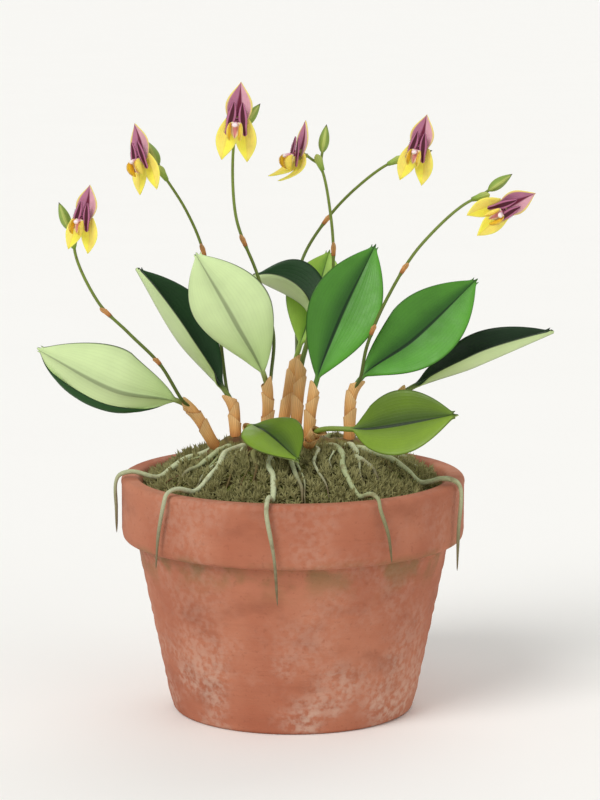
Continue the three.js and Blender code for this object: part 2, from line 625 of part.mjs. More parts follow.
const seats = union(SHOOTS.map((shoot) => skin(sheathRings(shoot).seat)));
plant.add(piece("rhizome_and_roots", geometryOf(rhizomeSolid().subtract(seats)), FINISH.rhizome));
plant.add(piece("moss", mossGeometry(rhizomeSolid(GAP).add(seats)), FINISH.moss));

SHOOTS.forEach((shoot, i) => {
  plant.add(piece(`leaf_${i + 1}`, leafGeometry(shoot), shoot.young ? FINISH.youngLeaf : FINISH.leaf));
  plant.add(piece(`sheath_${i + 1}`, sheathGeometry(shoot), FINISH.sheath));
});

STALKS.forEach((stalk, i) => {
  const flower = flowerFrame(stalk);
  plant.add(piece(`flower_stem_${i + 1}`, stalkGeometry(stalk, flower), FINISH.stalk));
  flower.add(piece(`sepals_${i + 1}`, sepalsGeometry(stalk.reach), FINISH.sepals));
  flower.add(piece(`petals_${i + 1}`, petalsGeometry(), FINISH.petals));
  flower.add(piece(`lip_${i + 1}`, lipGeometry(), FINISH.lip));
  plant.add(flower);
});

export default plant;
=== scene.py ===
"""A miniature orchid, Lepanthes tridentata, in flower on moss in a small clay pot.

Lengths are in millimetres up to the point where a mesh is made. +Z is up, -Y is the front, and the
origin is the middle of the pot's foot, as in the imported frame.
"""

import logging
import math
from collections.abc import Callable, Sequence
from dataclasses import dataclass, replace
from enum import Enum

import bpy
import numpy as np
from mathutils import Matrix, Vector


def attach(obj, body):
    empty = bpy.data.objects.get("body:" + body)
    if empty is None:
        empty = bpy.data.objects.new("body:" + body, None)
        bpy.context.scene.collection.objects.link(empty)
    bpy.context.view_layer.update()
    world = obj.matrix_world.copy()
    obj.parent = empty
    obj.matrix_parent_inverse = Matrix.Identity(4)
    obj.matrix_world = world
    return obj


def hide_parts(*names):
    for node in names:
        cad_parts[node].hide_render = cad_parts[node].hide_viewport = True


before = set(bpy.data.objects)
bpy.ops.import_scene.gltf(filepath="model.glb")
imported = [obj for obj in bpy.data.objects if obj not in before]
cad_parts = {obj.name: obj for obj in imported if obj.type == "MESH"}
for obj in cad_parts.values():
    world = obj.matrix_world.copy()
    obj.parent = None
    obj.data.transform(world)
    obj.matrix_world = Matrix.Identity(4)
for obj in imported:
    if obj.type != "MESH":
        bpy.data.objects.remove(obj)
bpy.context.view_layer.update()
log = logging.getLogger("orchid")

Point = tuple[float, float, float]
Colour = tuple[int, int, int]
Socket = bpy.types.NodeSocket
Material = bpy.types.Material
Piece = bpy.types.Object
Dress = dict[str, Material]
Value = Socket | float | tuple[float, float, float, float]

MM = 0.001  # Blender's metres in a millimetre
TOUCHING = 1e-7  # points this close, in metres, are one point
LEAST = 1e-4  # the least radius or half width, in millimetres
FORM = "Form"  # the UV map that runs across and along each piece
TONE = "tone"  # the attribute that tells one root or tuft from the next
RISE = "rise"  # the attribute that runs from the foot of a tuft to its tips
MOUTH = 1 / 3  # the sheath's mouth is the second of the four points of a shoot's line
SMOOTH_ANGLE = math.radians(42)
GOLDEN_ANGLE = 2.39996  # the turn from one place to the next in an even spiral, in radians
ANY_TURN = 6.28  # random turns go from 0 to this
PARTS = 40  # how many parts a long search is split into, to save memory
BUNCHING = 0.35  # how strongly a blade's points crowd at its midrib and margins
RIB_RISE = 0.018  # how far a sleeve's ribs stand out, as a share of its radius
LIP_FLARE = 0.08  # how far a sleeve's pointed lip opens, as a share of its radius


def mix(a: float, b: float, t: float) -> float:
    """Return the value at a share t of the way from a to b."""
    return a + (b - a) * t


def smooth(x: np.ndarray, low: float, high: float) -> np.ndarray:
    """Return 0 below low, 1 above high and a soft step between."""
    t = np.clip((x - low) / (high - low), 0, 1)
    return t * t * (3 - 2 * t)


def unit(vectors: np.ndarray) -> np.ndarray:
    """Return vectors at length 1."""
    return vectors / np.linalg.norm(vectors, axis=-1, keepdims=True)


def near(x: np.ndarray, width: float) -> np.ndarray:
    """Return a soft bump of height 1 round x = 0."""
    return np.exp(-((x / width) ** 2))


def full_turn(sides: int) -> np.ndarray:
    """Return the angles of a ring's points, with the first again at the end."""
    return np.linspace(0, 2 * np.pi, sides + 1)


def domed(t: np.ndarray, start: float) -> np.ndarray:
    """Return 1 up to a start, and from there a quarter of a circle down to 0 at t = 1."""
    return np.sqrt(np.clip(1 - np.maximum(0, (t - start) / (1 - start)) ** 2, 0, 1))


@dataclass(frozen=True)
class Line:
    """A smooth line through a few points, a centripetal Catmull-Rom spline."""

    points: tuple[Point, ...]

    def at(self, shares: np.ndarray) -> np.ndarray:
        """Find the points at shares of the line.

        Args:
            shares: Places from 0 to 1, with the line's own points evenly apart.

        Returns:
            One point a row.
        """
        knots = np.array(self.points, dtype=float)
        last = len(knots) - 1
        ends = np.vstack([2 * knots[0] - knots[1], knots, 2 * knots[-1] - knots[-2]])
        place = np.clip(shares, 0, 1) * last
        span = np.minimum(place.astype(int), last - 1)
        w = (place - span)[:, None]
        p0, p1, p2, p3 = (ends[span + k] for k in range(4))
        d0, d1, d2 = (
            np.linalg.norm(b - a, axis=1, keepdims=True) ** 0.5 for a, b in ((p0, p1), (p1, p2), (p2, p3))
        )
        leaving = ((p1 - p0) / d0 - (p2 - p0) / (d0 + d1) + (p2 - p1) / d1) * d1
        arriving = ((p2 - p1) / d1 - (p3 - p1) / (d1 + d2) + (p3 - p2) / d2) * d1
        bend = 3 * (p2 - p1) - 2 * leaving - arriving
        return p1 + leaving * w + bend * w**2 + (2 * (p1 - p2) + leaving + arriving) * w**3

    def way(self, shares: np.ndarray) -> np.ndarray:
        """Return the directions along the line at shares of it."""
        step = 1e-4
        return unit(self.at(np.clip(shares + step, 0, 1)) - self.at(np.clip(shares - step, 0, 1)))

    def shares_of_length(self, lengths: np.ndarray) -> np.ndarray:
        """Turn shares of the line's length into shares of its points.

        Args:
            lengths: Shares of its length.

        Returns:
            The share of its points at each.
        """
        fine = np.linspace(0, 1, 801)
        run = np.cumsum(np.linalg.norm(np.diff(self.at(fine), axis=0), axis=1))
        return np.interp(lengths * run[-1], np.concatenate([[0], run]), fine)

    def evenly(self, count: int) -> np.ndarray:
        """Return points at equal steps along the line."""
        return self.at(self.shares_of_length(np.linspace(0, 1, count)))


class Path:
    """A run of points with a frame at each, turned as little as can be from the one before."""

    def __init__(self, points: np.ndarray, toward: Sequence[float] = (0, -1, 0)) -> None:
        """Work out the frames.

        Args:
            points: One point a row.
            toward: The way that angle 0 looks at the start.
        """
        self.points = points
        self.along = unit(np.gradient(points, axis=0))
        normal = np.array(toward, dtype=float)
        normals = []
        for way in self.along:
            normal = unit(normal - way * (normal @ way))
            normals.append(normal)
        self.normal = np.array(normals)
        self.across = np.cross(self.along, self.normal)

    def rings(self, radius: np.ndarray, angle: np.ndarray, shift: np.ndarray | float = 0.0) -> np.ndarray:
        """Lay a ring of points round each point of the path.

        Args:
            radius: Radii by point and angle, or one a point.
            angle: The ring's angles in radians.
            shift: How far each point is moved along the path.

        Returns:
            Points by station and angle.
        """
        size = (len(self.points), len(angle))
        wide = np.broadcast_to(radius if radius.ndim == 2 else radius[:, None], size)[..., None]
        moved = np.broadcast_to(shift, size)[..., None]
        turn = angle[None, :, None]
        round_it = self.normal[:, None] * np.cos(turn) + self.across[:, None] * np.sin(turn)
        return self.points[:, None] + wide * round_it + self.along[:, None] * moved


def tube_rows(path: Path, radius: np.ndarray, sides: int) -> np.ndarray:
    """Lay rings round a path and close them to a point at each end.

    Args:
        path: The middle line.
        radius: One a station, or by station and angle.
        sides: Faces round the tube.

    Returns:
        Points by station and angle.
    """
    rings = path.rings(radius, full_turn(sides))
    ends = [np.repeat(path.points[k][None, None], sides + 1, axis=1) for k in (0, -1)]
    return np.concatenate([ends[0], rings, ends[1]])


def sleeve_rows(
    path: Path, radius: np.ndarray, wall: float, slant: float, ribs: int, sides: int
) -> np.ndarray:
    """Lay a thin ribbed funnel round a path, open at both ends, with a pointed lip on its angle 0.

    Args:
        path: The middle line, from the foot to the mouth.
        radius: The outer radius at each station.
        wall: How thick the paper is.
        slant: How far the lip's point stands ahead of the mouth's far side.
        ribs: How many fine ribs run along it.
        sides: Faces round the funnel.

    Returns:
        Points by station and angle, up the outside and down the inside to the start.
    """
    angle = full_turn(sides)
    open_to = np.linspace(0, 1, len(path.points))[:, None]
    peak = ((1 + np.cos(angle)) / 2) ** 2
    shift = slant * (peak - 0.5) * open_to**3
    ribbed = radius[:, None] * (1 + RIB_RISE * np.cos(ribs * angle))
    ribbed = ribbed * (1 + LIP_FLARE * peak * open_to**4)
    outside = path.rings(ribbed, angle, shift)
    inside = path.rings(ribbed - wall, angle, shift)
    return np.concatenate([outside, inside[::-1], outside[:1]])


def blade_places(per_face: int) -> tuple[np.ndarray, np.ndarray]:
    """Choose the points round a blade's cross-section, close together at its midrib and margins.

    Args:
        per_face: Faces across each side.

    Returns:
        Places across the blade from -1 to 1 and back, and 1 for the upper side or -1 for the under.
    """
    even = np.linspace(-1, 1, per_face + 1)
    bunched = np.sin(np.pi / 2 * ((1 - BUNCHING) * even + BUNCHING * even**3))
    places = np.concatenate([bunched, bunched[::-1][1:]])
    return places, np.concatenate([np.ones(per_face + 1), -np.ones(per_face)])


@dataclass
class Blade:
    """A thin closed blade of tissue along a line, with an upper and an under side."""

    spine: np.ndarray  # its middle line
    way: np.ndarray  # the direction along it
    face: np.ndarray  # the way that the upper side looks
    thick: np.ndarray
    roundness: np.ndarray  # 2 is an ellipse, and more is a flat plate with rounded margins
    section: Callable[[np.ndarray], tuple[np.ndarray, np.ndarray]]  # how far out and up a place lies
    relief: Callable[[np.ndarray, np.ndarray], np.ndarray]  # what is added to either side
    ahead: np.ndarray | float = 0.0  # how far each point stands ahead
    per_face: int = 14
    step: float = 0.02  # the step across that its slope is measured over

    def rows(self) -> np.ndarray:
        """Work out the blade's points.

        Returns:
            Points by station and place round its cross-section.
        """
        s, side_of = blade_places(self.per_face)
        up = unit(self.face - self.way * (self.way @ self.face)[:, None])
        side = np.cross(self.way, up)
        body = np.sqrt(np.clip(1 - np.abs(s)[None] ** self.roundness[:, None], 0, 1))
        thick = self.thick.copy()
        thick[[0, -1]] = 0
        across, rise = self.section(s[None])
        (left, low), (right, high) = (self.section(s[None] + step) for step in (-self.step, self.step))
        slope = np.arctan2(high - low, right - left)
        away = side_of * body * thick[:, None] / 2 + self.relief(s[None], side_of[None])
        across, rise = across - away * np.sin(slope), rise + away * np.cos(slope)
        ahead = np.broadcast_to(self.ahead, rise.shape)[..., None]
        moved = side[:, None] * across[..., None] + up[:, None] * rise[..., None]
        return self.spine[:, None] + moved + self.way[:, None] * ahead

    def marks(self, along: np.ndarray) -> np.ndarray:
        """Return the UV of each point, with a share along the blade for each station."""
        across = (blade_places(self.per_face)[0] + 1) / 2
        return np.stack(np.broadcast_arrays(across[None], along[:, None]), axis=-1)


def numbers(items: bpy.types.bpy_prop_collection, name: str, width: int = 1) -> np.ndarray:
    """Read one property of all of a mesh's items.

    Args:
        items: The vertices, corners or faces.
        name: The property.
        width: How many numbers each has.

    Returns:
        One row an item, or a flat array for single numbers.
    """
    found = np.empty(len(items) * width, dtype=np.float32 if width > 1 else np.int32)
    items.foreach_get(name, found)
    return found.reshape(-1, width) if width > 1 else found


def alone(piece: Piece) -> None:
    """Make a piece the only one selected, and the active one."""
    bpy.ops.object.select_all(action="DESELECT")
    piece.select_set(True)
    bpy.context.view_layer.objects.active = piece


def close_up(piece: Piece) -> None:
    """Merge the seams and poles of a piece and turn its faces outwards."""
    alone(piece)
    bpy.ops.object.mode_set(mode="EDIT")
    bpy.ops.mesh.select_all(action="SELECT")
    bpy.ops.mesh.remove_doubles(threshold=TOUCHING)
    bpy.ops.mesh.normals_make_consistent(inside=False)
    bpy.ops.object.mode_set(mode="OBJECT")


def apply_modifier(piece: Piece, kind: str, **settings: object) -> None:
    """Add a modifier to a piece and apply it.

    Args:
        piece: The piece, which becomes the active one.
        kind: Blender's name for the modifier.
        **settings: The modifier's properties.
    """
    alone(piece)
    modifier = piece.modifiers.new(kind.title(), kind)
    for name, value in settings.items():
        setattr(modifier, name, value)
    bpy.ops.object.modifier_apply(modifier=modifier.name)


def loft(
    name: str,
    rows: np.ndarray,
    finishes: Sequence[Material],
    marks: np.ndarray | None = None,
    under_from: int | None = None,
    tone: float = 0.5,
) -> Piece:
    """Lay a grid over rows of points and close its seams and ends.

    Args:
        name: The piece's name.
        rows: Points by station and place round it, in millimetres.
        finishes: The material, or the upper and the under side's.
        marks: The UV of each point, or none for even steps round and along.
        under_from: The first column of faces on the under side.
        tone: The piece's place in its finish's range of tones.

    Returns:
        The closed piece.
    """
    stations, around = rows.shape[0] - 1, rows.shape[1] - 1
    bpy.ops.object.select_all(action="DESELECT")
    bpy.ops.mesh.primitive_grid_add(x_subdivisions=around, y_subdivisions=stations, size=2)
    piece = bpy.context.active_object
    piece.name = name
    mesh = piece.data
    spots = (numbers(mesh.vertices, "co", 3) + 1) / 2
    column = np.rint(spots[:, 0] * around).astype(int)
    row = np.rint(spots[:, 1] * stations).astype(int)
    for finish in finishes:
        mesh.materials.append(finish)
    if under_from is not None:
        face_column = (numbers(mesh.polygons, "center", 3)[:, 0] + 1) / 2 * around
        mesh.polygons.foreach_set("material_index", (face_column > under_from).astype(np.int32))
    if marks is None:
        u, v = np.meshgrid(np.linspace(0, 1, around + 1), np.linspace(0, 1, stations + 1))
        marks = np.stack([u, v], axis=-1)
    corner = numbers(mesh.loops, "vertex_index")
    mesh.uv_layers[0].name = FORM
    mesh.uv_layers[0].data.foreach_set("uv", marks[row[corner], column[corner]].astype(np.float32).ravel())
    mesh.vertices.foreach_set("co", (rows[row, column] * MM).astype(np.float32).ravel())
    tones = mesh.attributes.new(TONE, "FLOAT", "POINT")
    tones.data.foreach_set("value", np.full(len(mesh.vertices), tone, dtype=np.float32))
    close_up(piece)
    return piece


def joined(name: str, pieces: Sequence[Piece]) -> Piece:
    """Join pieces into one.

    Args:
        name: The new piece's name.
        pieces: The pieces, the first of which becomes the whole.

    Returns:
        The joined piece.
    """
    alone(pieces[0])
    for piece in pieces[1:]:
        piece.select_set(True)
    if len(pieces) > 1:
        bpy.ops.object.join()
    whole = bpy.context.active_object
    whole.name = name
    whole.data.name = name
    return whole


def aimed(ways: np.ndarray, rolls: np.ndarray, lengths: np.ndarray, widths: np.ndarray) -> np.ndarray:
    """Work out frames that look along given ways.

    Args:
        ways: The Z axis of each frame.
        rolls: How far each is turned about it, in radians.
        lengths: Each frame's scale along Z.
        widths: Each frame's scale along X and Y.

    Returns:
        A 3 by 3 matrix each, with its axes as columns.
    """
    z = unit(ways)
    guide = np.where(np.abs(z[:, 2:]) < 0.9, [[0.0, 0.0, 1.0]], [[1.0, 0.0, 0.0]])
    x = unit(np.cross(guide, z))
    y = np.cross(z, x)
    cos, sin = np.cos(rolls)[:, None], np.sin(rolls)[:, None]
    turned = x * cos + y * sin, y * cos - x * sin
    return np.stack([turned[0] * widths[:, None], turned[1] * widths[:, None], z * lengths[:, None]], axis=2)


def spread(
    name: str,
    pattern: Piece,
    places: np.ndarray,
    axes: np.ndarray,
    finish: Material,
    tones: np.ndarray | None = None,
) -> Piece:
    """Copy a small closed pattern piece to many places, as one mesh, and delete the pattern.

    Args:
        name: The new piece's name.
        pattern: The modelled piece, in metres, with its foot at the origin.
        places: Where each copy's foot goes, in millimetres.
        axes: Each copy's axes, as columns.
        finish: The material.
        tones: Each copy's place in its finish's range of tones.

    Returns:
        The piece made of all the copies.
    """
    model = pattern.data
    spots = numbers(model.vertices, "co", 3)
    corners, totals = numbers(model.loops, "vertex_index"), numbers(model.polygons, "loop_total")
    count = len(places)
    points = places[:, None] * MM + np.einsum("nij,kj->nki", axes, spots)
    mesh = bpy.data.meshes.new(name)
    mesh.vertices.add(count * len(spots))
    mesh.vertices.foreach_set("co", points.astype(np.float32).ravel())
    steps = np.arange(count)[:, None] * len(spots)
    mesh.loops.add(count * len(corners))
    mesh.loops.foreach_set("vertex_index", (corners[None] + steps).astype(np.int32).ravel())
    sizes = np.tile(totals, count)
    mesh.polygons.add(len(sizes))
    mesh.polygons.foreach_set("loop_start", (np.cumsum(sizes) - sizes).astype(np.int32))
    mesh.update(calc_edges=True)
    mesh.materials.append(finish)
    rise = spots[:, 2] / spots[:, 2].max()
    tones = np.full(count, 0.5) if tones is None else tones
    for label, values in ((RISE, np.tile(rise, count)), (TONE, np.repeat(tones, len(spots)))):
        layer = mesh.attributes.new(label, "FLOAT", "POINT")
        layer.data.foreach_set("value", values.astype(np.float32))
    mesh.uv_layers.new(name=FORM)
    piece = bpy.data.objects.new(name, mesh)
    bpy.context.scene.collection.objects.link(piece)
    bpy.data.objects.remove(pattern)
    return piece


def spike(radius: float, length: float) -> Piece:
    """Model a slender three-sided spike that stands on the origin.

    Args:
        radius: Its foot's radius.
        length: Its height.

    Returns:
        The spike.
    """
    bpy.ops.object.select_all(action="DESELECT")
    bpy.ops.mesh.primitive_cone_add(
        vertices=3, radius1=radius * MM, radius2=0, depth=length * MM, location=(0, 0, length * MM / 2)
    )
    bpy.ops.object.transform_apply(location=True, rotation=True, scale=True)
    return bpy.context.active_object


def finish_piece(piece: Piece, nodes: Sequence[str], by_angle: bool = False) -> None:
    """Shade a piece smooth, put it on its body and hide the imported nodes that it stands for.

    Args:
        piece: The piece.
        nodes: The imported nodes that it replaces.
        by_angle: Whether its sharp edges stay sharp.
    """
    alone(piece)
    if by_angle:
        bpy.ops.object.shade_smooth_by_angle(angle=SMOOTH_ANGLE)
    else:
        bpy.ops.object.shade_smooth()
    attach(piece, "root")
    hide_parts(*nodes)
    log.info("%s: %d faces", piece.name, len(piece.data.polygons))


def rgb(colour: Colour) -> tuple[float, float, float, float]:
    """Turn a screen colour into Blender's linear one.

    Args:
        colour: Red, green and blue, from 0 to 255.

    Returns:
        The same with its opacity.
    """
    parts = [c / 255 for c in colour]
    linear = [c / 12.92 if c <= 0.04045 else ((c + 0.055) / 1.055) ** 2.4 for c in parts]
    return (linear[0], linear[1], linear[2], 1.0)


class Paint:
    """A procedural material in the making, built through helpers named by what their nodes do."""

    def __init__(self, name: str, shader: dict[str, float]) -> None:
        """Start a material.

        Args:
            name: The material's name.
            shader: Values for the sockets of its shader.
        """
        self.material = bpy.data.materials.new(name)
        self.material.use_nodes = True
        self.tree = self.material.node_tree
        self.shader = self.tree.nodes["Principled BSDF"]
        self.normal: Socket | None = None
        for socket, value in shader.items():
            self.shader.inputs[socket].default_value = value

    def node(self, kind: str, inputs: dict[str | int, Value], **settings: object) -> bpy.types.Node:
        """Add a node.

        Args:
            kind: Blender's name for the node, without its prefix.
            inputs: A socket to link or a value to set for each input.
            **settings: The node's properties.

        Returns:
            The node.
        """
        made = self.tree.nodes.new("ShaderNode" + kind)
        for name, value in settings.items():
            setattr(made, name, value)
        for name, value in inputs.items():
            if isinstance(value, Socket):
                self.tree.links.new(value, made.inputs[name])
            else:
                made.inputs[name].default_value = value
        return made

    def form(self) -> tuple[Socket, Socket]:
        """Return how far across and how far along the piece a point lies."""
        parts = self.node("SeparateXYZ", {0: self.node("UVMap", {}, uv_map=FORM).outputs[0]})
        return parts.outputs[0], parts.outputs[1]

    def form_and_aside(self) -> tuple[Socket, Socket, Socket]:
        """Return the place across and along the piece, and how far to either side of its middle that is."""
        u, v = self.form()
        return u, v, self.math("ABSOLUTE", self.math("MULTIPLY_ADD", u, 2.0, -1.0))

    def height(self) -> Socket:
        """Return the height of a point above the floor, in metres."""
        return self.node("SeparateXYZ", {0: self.node("TexCoord", {}).outputs["Object"]}).outputs[2]

    def attribute(self, name: str) -> Socket:
        """Return a number that the mesh carries."""
        return self.node("Attribute", {}, attribute_name=name).outputs["Fac"]

    def noise(self, size: float, detail: float = 3.0, squash: Point = (1, 1, 1)) -> Socket:
        """Return a cloudy pattern.

        Args:
            size: How large its patches are, in millimetres.
            detail: How many finer layers it has.
            squash: How much finer it is along each axis.

        Returns:
            The pattern, from 0 to 1.
        """
        place = self.node("TexCoord", {}).outputs["Object"]
        mapped = self.node("Mapping", {"Vector": place, "Scale": squash})
        inputs = {"Vector": mapped.outputs[0], "Scale": 1 / (size * MM), "Detail": detail}
        return self.node("TexNoise", inputs).outputs[0]

    def cells(self, size: float) -> Socket:
        """Return the distance to the middle of the nearest of many cells of a size in millimetres."""
        place = self.node("TexCoord", {}).outputs["Object"]
        return self.node("TexVoronoi", {"Vector": place, "Scale": 1 / (size * MM)}).outputs["Distance"]

    def math(self, operation: str, *values: Value) -> Socket:
        """Return a sum of one to three values by Blender's name for it."""
        return self.node("Math", dict(enumerate(values)), operation=operation).outputs[0]

    def step(self, value: Value, low: float, high: float, to: tuple[float, float] = (0.0, 1.0)) -> Socket:
        """Return a soft step.

        Args:
            value: What is looked at.
            low: Where the step starts.
            high: Where it ends.
            to: What it gives below and above.

        Returns:
            The stepped value.
        """
        inputs = {"Value": value, "From Min": low, "From Max": high, "To Min": to[0], "To Max": to[1]}
        return self.node("MapRange", inputs, interpolation_type="SMOOTHSTEP").outputs[0]

    def taper(self, along: Value, ends: tuple[float, float]) -> Socket:
        """Return a value that goes evenly from one number at the foot to another at the tip."""
        return self.math("MULTIPLY_ADD", along, ends[1] - ends[0], ends[0])

    def rough(self, size: float, low: float, high: float) -> Socket:
        """Return a roughness that drifts between two values in patches of a size in millimetres."""
        return self.step(self.noise(size), 0.3, 0.7, (low, high))

    def lines(self, across: Value, count: float, sharpness: float) -> Socket:
        """Return fine lines at even steps of a value.

        Args:
            across: The value that they are spaced along.
            count: How many there are in a step of 1.
            sharpness: 1 for soft waves, and more for thinner lines.

        Returns:
            1 on each line and 0 between them.
        """
        wave = self.math("COSINE", self.math("MULTIPLY", across, 2 * math.pi * count))
        return self.math("POWER", self.math("MULTIPLY_ADD", wave, 0.5, 0.5), sharpness)

    def blend(self, factor: Value, a: Value, b: Value, mode: str = "MIX") -> Socket:
        """Return colour a with colour b laid over it.

        Args:
            factor: How much of b shows.
            a: The colour below.
            b: The colour on top.
            mode: Blender's name for the way they mix.

        Returns:
            The mixed colour.
        """
        return self.node("Mix", {0: factor, 6: a, 7: b}, data_type="RGBA", blend_type=mode).outputs[2]

    def shade(self, colour: Value, factor: Value, low: float, high: float) -> Socket:
        """Return a colour made darker or lighter by a pattern.

        Args:
            colour: The colour.
            factor: The pattern, from 0 to 1.
            low: What the colour is multiplied by where the pattern is 0.
            high: What it is multiplied by where the pattern is 1.

        Returns:
            The shaded colour.
        """
        scale = self.node("MapRange", {"Value": factor, "To Min": low, "To Max": high}).outputs[0]
        return self.blend(1.0, colour, scale, "MULTIPLY")

    def stain(self, colour: Value, where: Value, share: float, over: Colour) -> Socket:
        """Return a colour with a share of another laid over it where a pattern is."""
        return self.blend(self.math("MULTIPLY", where, share), colour, rgb(over))

    def ramp(self, factor: Value, *stops: tuple[float, Colour]) -> Socket:
        """Return a colour chosen by a value.

        Args:
            factor: The value, from 0 to 1.
            *stops: Places along it and their colours.

        Returns:
            The colour.
        """
        made = self.node("ValToRGB", {0: factor})
        band = made.color_ramp.elements
        while len(band) < len(stops):
            band.new(1.0)
        for element, (place, colour) in zip(band, stops):
            element.position = place
            element.color = rgb(colour)
        return made.outputs[0]

    def bump(self, height: Value, depth: float) -> None:
        """Raise the surface by a pattern.

        Args:
            height: The pattern, from 0 to 1.
            depth: How high it stands, in millimetres.
        """
        inputs = {"Height": height, "Distance": depth * MM}
        if self.normal:
            inputs["Normal"] = self.normal
        self.normal = self.node("Bump", inputs).outputs[0]

    def done(self, colour: Socket, roughness: Socket | None = None) -> Material:
        """Link what was made to the shader.

        Args:
            colour: The base colour.
            roughness: The roughness, where it varies.

        Returns:
            The material.
        """
        self.tree.links.new(colour, self.shader.inputs["Base Color"])
        if roughness:
            self.tree.links.new(roughness, self.shader.inputs["Roughness"])
        if self.normal:
            self.tree.links.new(self.normal, self.shader.inputs["Normal"])
        return self.material


class LeafTone(Enum):
    """How a leaf is coloured in the plate."""

    PALE = "pale"
    DEEP = "deep"
    FRESH = "fresh"
    BRIGHT = "bright"
    OLIVE = "olive"


@dataclass(frozen=True)
class LeafFinish:
    """The upper and the under side of a leaf, with a dark midrib and faint veins that follow its outline."""

    name: str
    # left and right: the two halves' greens; the left half's darker green is painted shade
    left: Colour
    right: Colour
    hollow: Colour  # the shade in the trough beside the midrib
    midrib: Colour
    under: Colour
    under_foot: Colour
    petiole: Colour
    veins: int = 21
    gloss: float = 0.4  # the upper side's least roughness, before it drifts
    rib: tuple[float, float] = (0.105, 0.045)  # the upper midrib's half width at the foot and at the tip
    keel: tuple[float, float] = (0.09, 0.04)  # the same of the midrib below

    def upper(self) -> Material:
        """Paint the upper side: two halves of different green, the left half's darker green being painted
        shade, with painted shade in the trough beside the midrib and a dark midrib.

        Returns:
            The material.
        """
        shader = {"Specular IOR Level": 0.3, "Coat Weight": 0.04, "Coat Roughness": 0.35}
        paint = Paint(f"{self.name}_leaf_upper", shader)
        u, v, aside = paint.form_and_aside()
        # painted shade: the left half is a darker green than the right
        colour = paint.blend(paint.step(u, 0.47, 0.53), rgb(self.left), rgb(self.right))
        # painted shade in the trough beside the midrib, stronger on the left half
        one_sided = paint.step(u, 0.56, 0.46, (0.35, 0.9))
        trough = paint.math("MULTIPLY", paint.step(aside, 0.62, 0.04), one_sided)
        colour = paint.blend(trough, colour, rgb(self.hollow))
        colour = paint.shade(colour, paint.noise(5.0, 4.0), 0.78, 1.2)
        colour = paint.shade(colour, paint.noise(0.8, 3.0), 0.94, 1.07)
        veins = paint.lines(u, self.veins, 3.0)
        colour = paint.shade(colour, veins, 1.0, 0.95)
        rib = paint.step(paint.math("SUBTRACT", aside, paint.taper(v, self.rib)), 0.0, -0.05)
        colour = paint.blend(rib, colour, rgb(self.midrib))
        colour = paint.shade(colour, paint.step(aside, 0.93, 1.0), 1.0, 0.6)
        colour = paint.blend(paint.step(v, 0.06, -0.03), colour, rgb(self.petiole))
        colour = paint.shade(colour, paint.step(v, 0.97, 1.0), 1.0, 0.5)
        paint.bump(veins, -0.008)
        paint.bump(paint.noise(0.6, 2.0), 0.015)
        return paint.done(colour, paint.rough(2.0, self.gloss - 0.06, self.gloss + 0.1))

    def lower(self) -> Material:
        """Paint the under side: pale and duller, with a raised darker midrib and faint veins.

        Returns:
            The material.
        """
        paint = Paint(f"{self.name}_leaf_under", {"Specular IOR Level": 0.3})
        u, v, aside = paint.form_and_aside()
        colour = paint.blend(paint.step(v, 0.55, -0.1), rgb(self.under), rgb(self.under_foot))
        colour = paint.shade(colour, paint.noise(4.0, 4.0), 0.88, 1.08)
        veins = paint.lines(u, self.veins, 3.0)
        colour = paint.shade(colour, veins, 1.0, 0.97)
        # painted shade: a darker band along the raised midrib
        colour = paint.shade(colour, paint.step(aside, 0.4, 0.04), 1.0, 0.86)
        rib = paint.step(paint.math("SUBTRACT", aside, paint.taper(v, self.keel)), 0.01, -0.04)
        colour = paint.shade(colour, rib, 1.0, 0.55)
        colour = paint.shade(colour, paint.step(aside, 0.7, 1.0), 1.0, 0.88)
        colour = paint.blend(paint.step(aside, 0.955, 1.0), colour, rgb(self.midrib))
        colour = paint.blend(paint.step(v, 0.07, -0.03), colour, rgb(self.petiole))
        paint.bump(veins, 0.01)
        paint.bump(paint.noise(0.7, 2.0), 0.015)
        return paint.done(colour, paint.rough(2.0, 0.5, 0.62))


LEAF_FINISHES = {
    LeafTone.PALE: LeafFinish(
        "pale",
        left=(26, 62, 24),
        right=(34, 78, 30),
        hollow=(18, 46, 16),
        midrib=(30, 52, 20),
        under=(218, 240, 176),
        under_foot=(184, 214, 134),
        petiole=(140, 150, 78),
    ),
    LeafTone.DEEP: LeafFinish(
        "deep",
        left=(18, 48, 18),
        right=(28, 66, 26),
        hollow=(12, 34, 12),
        midrib=(8, 24, 8),
        under=(214, 236, 170),
        under_foot=(180, 208, 126),
        petiole=(110, 128, 58),
    ),
    LeafTone.FRESH: LeafFinish(
        "fresh",
        left=(72, 132, 38),
        right=(86, 156, 46),
        hollow=(34, 84, 20),
        midrib=(14, 50, 12),
        under=(204, 228, 160),
        under_foot=(170, 204, 120),
        petiole=(92, 134, 52),
    ),
    LeafTone.BRIGHT: LeafFinish(
        "bright",
        left=(150, 188, 72),
        right=(166, 204, 84),
        hollow=(116, 160, 52),
        midrib=(78, 112, 34),
        under=(204, 222, 150),
        under_foot=(172, 196, 110),
        petiole=(140, 166, 70),
    ),
    LeafTone.OLIVE: LeafFinish(
        "olive",
        left=(92, 120, 24),
        right=(122, 152, 42),
        hollow=(54, 80, 14),
        midrib=(26, 46, 6),
        under=(184, 202, 126),
        under_foot=(156, 180, 92),
        petiole=(124, 146, 56),
    ),
}


